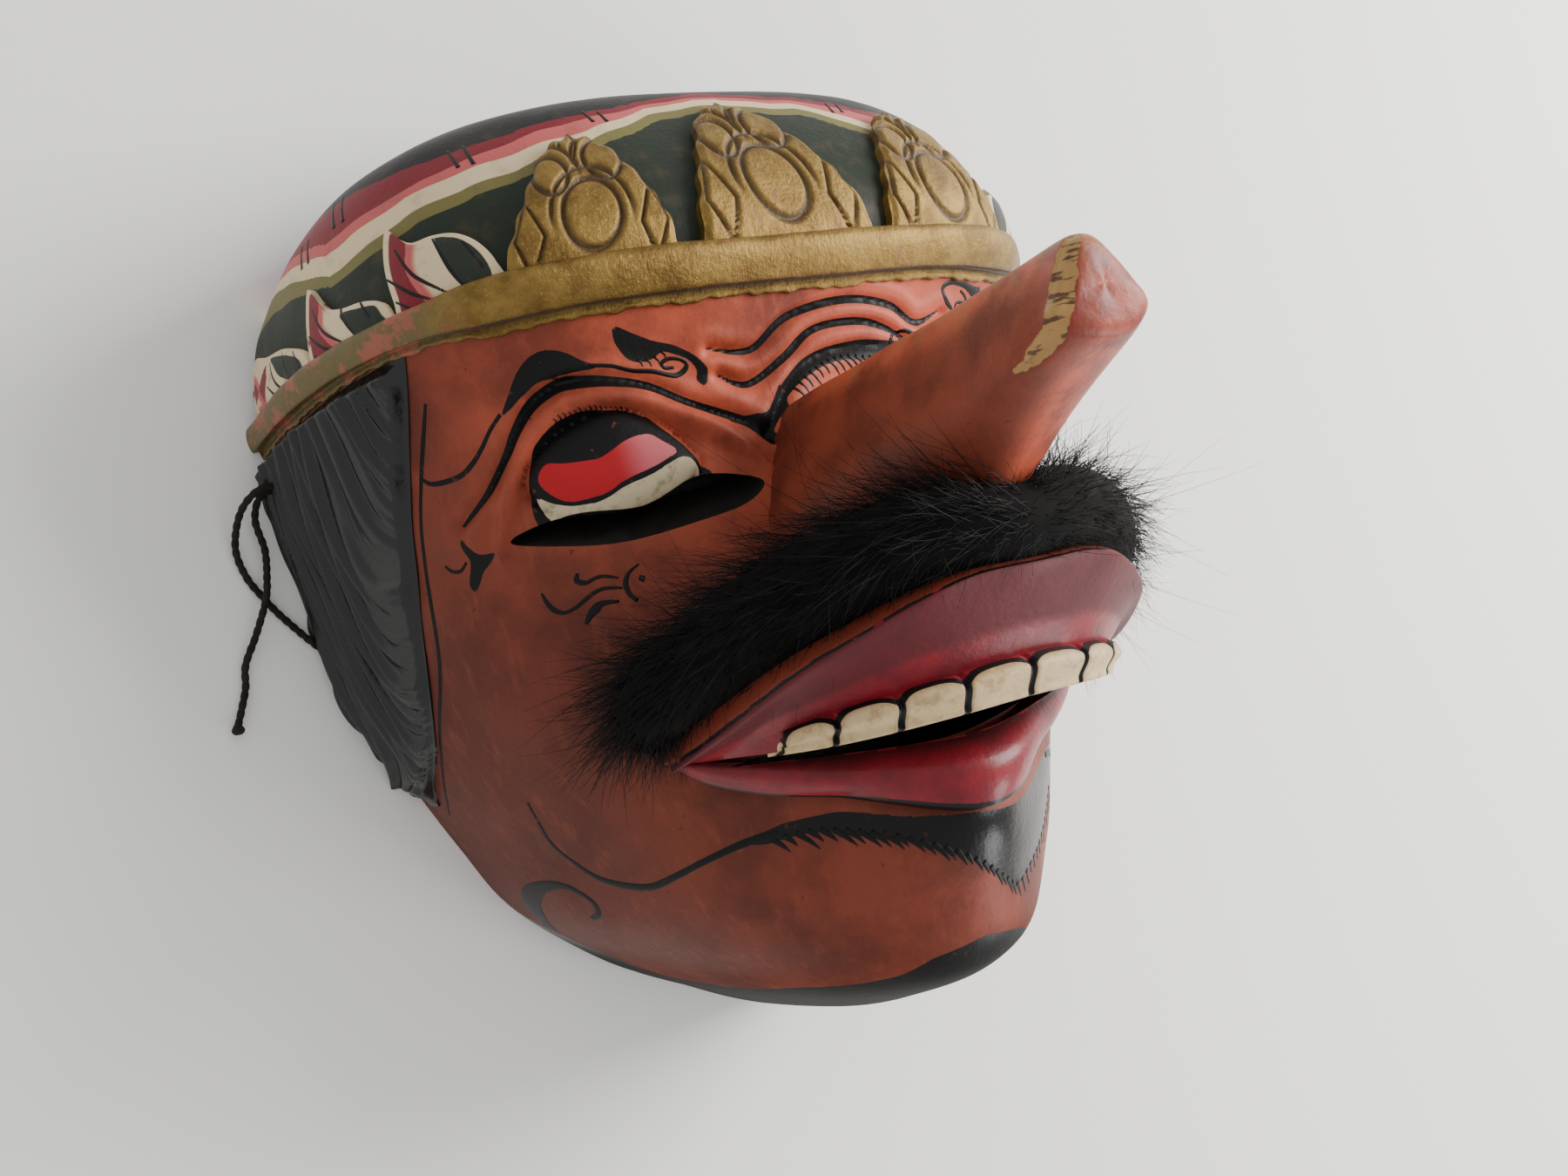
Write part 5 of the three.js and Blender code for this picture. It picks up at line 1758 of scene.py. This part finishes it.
moustache = new_object("moustache_core", *moustache_core(), core_finish)
inner = thin_tubes(hair_routes(4700, 11, 0.6, 5), 0.1)
outer = thin_tubes(hair_routes(5000, 13, 0.75), 0.085)
stray = thin_tubes(hair_routes(150, 24, 1.05, 12, 0.8), 0.075)
hair_pieces = [
    new_object("moustache_hair_inner", *inner, hair_finish),
    new_object("moustache_hair_outer", *outer, hair_finish),
    new_object("moustache_hair_stray", *stray, hair_finish),
]
print("hair:", [len(piece.data.vertices) for piece in hair_pieces], "points")

# %% [markdown]
# A dark twisted cord holds the mask on. It comes out of the temple hole, runs down to the
# ground and under the rim, lies inside the hollow and goes up into the other hole. A second end
# hangs from the first hole and stops in a knot. Two plies that wind round each other are one
# section with two lobes, turned a little at every step.

# %% Cords
CORD_RADIUS, TWIST_SHARE = 0.95, 0.78  # the twist is thinner than the round cord in CAD
CORD_STEP, TWIST_LENGTH = 0.35, 3.6
CORD_REFERENCE = (0.1, 0.2, 1.0)
HEAD_CORD = [
    [-74, 27, 9.2], [-80, 27, 9.2], [-85, 27.2, 8.9], [-88.8, 24, 6], [-90.4, 18, 2.4],
    [-89.4, 12.4, 1.2], [-87, 7.5, 1.2], [-83.5, 2.1, 1.2], [-77, -5.6, 1.2], [-68, -12, 1.2],
    [-55, -18, 1.2], [-38, -22.5, 1.2], [-18, -24, 1.2], [4, -22, 1.2], [25, -16, 1.2],
    [43, -5, 1.2], [56, 8, 1.4], [63.5, 19, 3], [67.5, 25.5, 6.4], [73, 27.2, 8],
]
CORD_TAIL = [
    [-74, 27, 6.8], [-80, 27, 6.8], [-84.4, 26.4, 6.3], [-86, 22.4, 4], [-85.2, 16.5, 3],
    [-86, 11.5, 3.4], [-87.4, 6.8, 4], [-90.2, 0.8, 2.4], [-93.2, -4.6, 1.2], [-94.2, -9, 1.2],
    [-97, -15.4, 1.2],
]
KNOT, KNOT_RADIUS = np.array([-97.4, -16.2, 2.0]), 1.15


def cord_piece(name, route):
    """A two-ply twist along a route."""
    dense = through(route, np.linspace(0, 1, 1500))
    gone = walked(dense)
    even = np.linspace(0, gone[-1], int(gone[-1] / CORD_STEP))
    path = np.stack([np.interp(even, gone, dense[:, k]) for k in range(3)], axis=-1)
    along = unit(np.gradient(path, axis=0))
    turn = turns(14)
    twist = even / TWIST_LENGTH * 2 * np.pi
    lobes = 0.68 + 0.32 * np.abs(np.cos(turn - twist[:, None])) ** 0.7
    radius = TWIST_SHARE * CORD_RADIUS * lobes
    ring = ring_directions(along, CORD_REFERENCE, turn)
    body = body_from_rings(path[:, None] + ring * radius[..., None])
    piece = new_object(name, *body, cord_finish)
    placed = (path[::12] + SHIFT) * MILLIMETRE
    placed[-1] = (path[-1] + SHIFT) * MILLIMETRE
    return piece


def knot_body():
    """A small lumpy ball at the end of the tail."""
    turn, rise = np.meshgrid(turns(26), np.linspace(0.05, 3.09, 16))
    radius = KNOT_RADIUS + 0.12 * np.sin(3 * turn + 2 * rise)
    offset = [np.sin(rise) * np.cos(turn), np.sin(rise) * np.sin(turn), np.cos(rise)]
    return body_from_rings(KNOT + np.stack(offset, axis=-1) * radius[..., None])


head_cord = cord_piece("head_cord_twist", HEAD_CORD)
cord_tail = cord_piece("cord_tail_twist", CORD_TAIL)
knot = new_object("cord_knot", *knot_body(), cord_finish)

# %% [markdown]
# The mask lies on pale paper in a bright room. A large soft box stands for the window on the
# viewer's right, so the nose throws its soft shadow to the left. A smaller, weaker one on the
# side of the chin fills in, and an even white world stands for the walls.

# %% Floor
FLOOR_HALF = 0.7


def floor_finish():
    """Pale matt paper."""
    paper = Finish("pale_floor", Roughness=0.85)
    paper.shaded(Base_Color=PAPER)
    return paper.material


floor_mesh = bpy.data.meshes.new("floor")
corners = [(x * FLOOR_HALF, y * FLOOR_HALF, 0) for x, y in ((-1, -1), (1, -1), (1, 1), (-1, 1))]
floor_mesh.from_pydata(corners, [], [(0, 1, 2, 3)])
floor_mesh.materials.append(floor_finish())
floor = bpy.data.objects.new("floor", floor_mesh)
bpy.context.scene.collection.objects.link(floor)
print("floor:", 2 * FLOOR_HALF, "metres wide")

# %% Light
ROOM_LIGHT = 0.8


def soft_light(name, place, aim, size, power, colour=(1, 1, 1)):
    """A square soft box at place, facing aim; both are metres."""
    data = bpy.data.lights.new(name, "AREA")
    data.size = size
    data.energy = power
    data.color = colour
    lamp = bpy.data.objects.new(name, data)
    forward = np.array(aim, float) - place
    back = unit(-forward)
    sideways = unit(np.cross([0, 0, 1], back))
    turn = Matrix(np.array([sideways, np.cross(back, sideways), back]).T.tolist())
    lamp.matrix_world = Matrix.Translation(place) @ turn.to_4x4()
    bpy.context.scene.collection.objects.link(lamp)


# %% Window and walls
soft_light("window", (0.74, 0.16, 0.56), (0, 0, 0.05), 0.55, 14, (1.0, 0.985, 0.96))
soft_light("low_window", (0.62, -0.6, 0.42), (0, 0, 0.08), 0.3, 3)
world = bpy.data.worlds.new("room_light")
world.use_nodes = True
walls = world.node_tree.nodes["Background"]
walls.inputs["Color"].default_value = (1, 1, 1, 1)
walls.inputs["Strength"].default_value = ROOM_LIGHT
bpy.context.scene.world = world
print(len(bpy.data.lights), "lights")

# %% [markdown]
# Every visible piece is made to move with a body of the frame. Here that is always the one
# root. Four solids of the CAD model are hidden, and the pieces made here show in their place.

# %% Attach the pieces to the frame
wooden = (mask, nose, upper_lip, lower_lip, teeth, brush_strokes, headband, crest, leaves,
          side_hair)
for piece in (*wooden, moustache, *hair_pieces, head_cord, cord_tail, knot):
    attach(piece, "root")
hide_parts("mask")
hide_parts("moustache")
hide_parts("head_cord")
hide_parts("cord_tail")
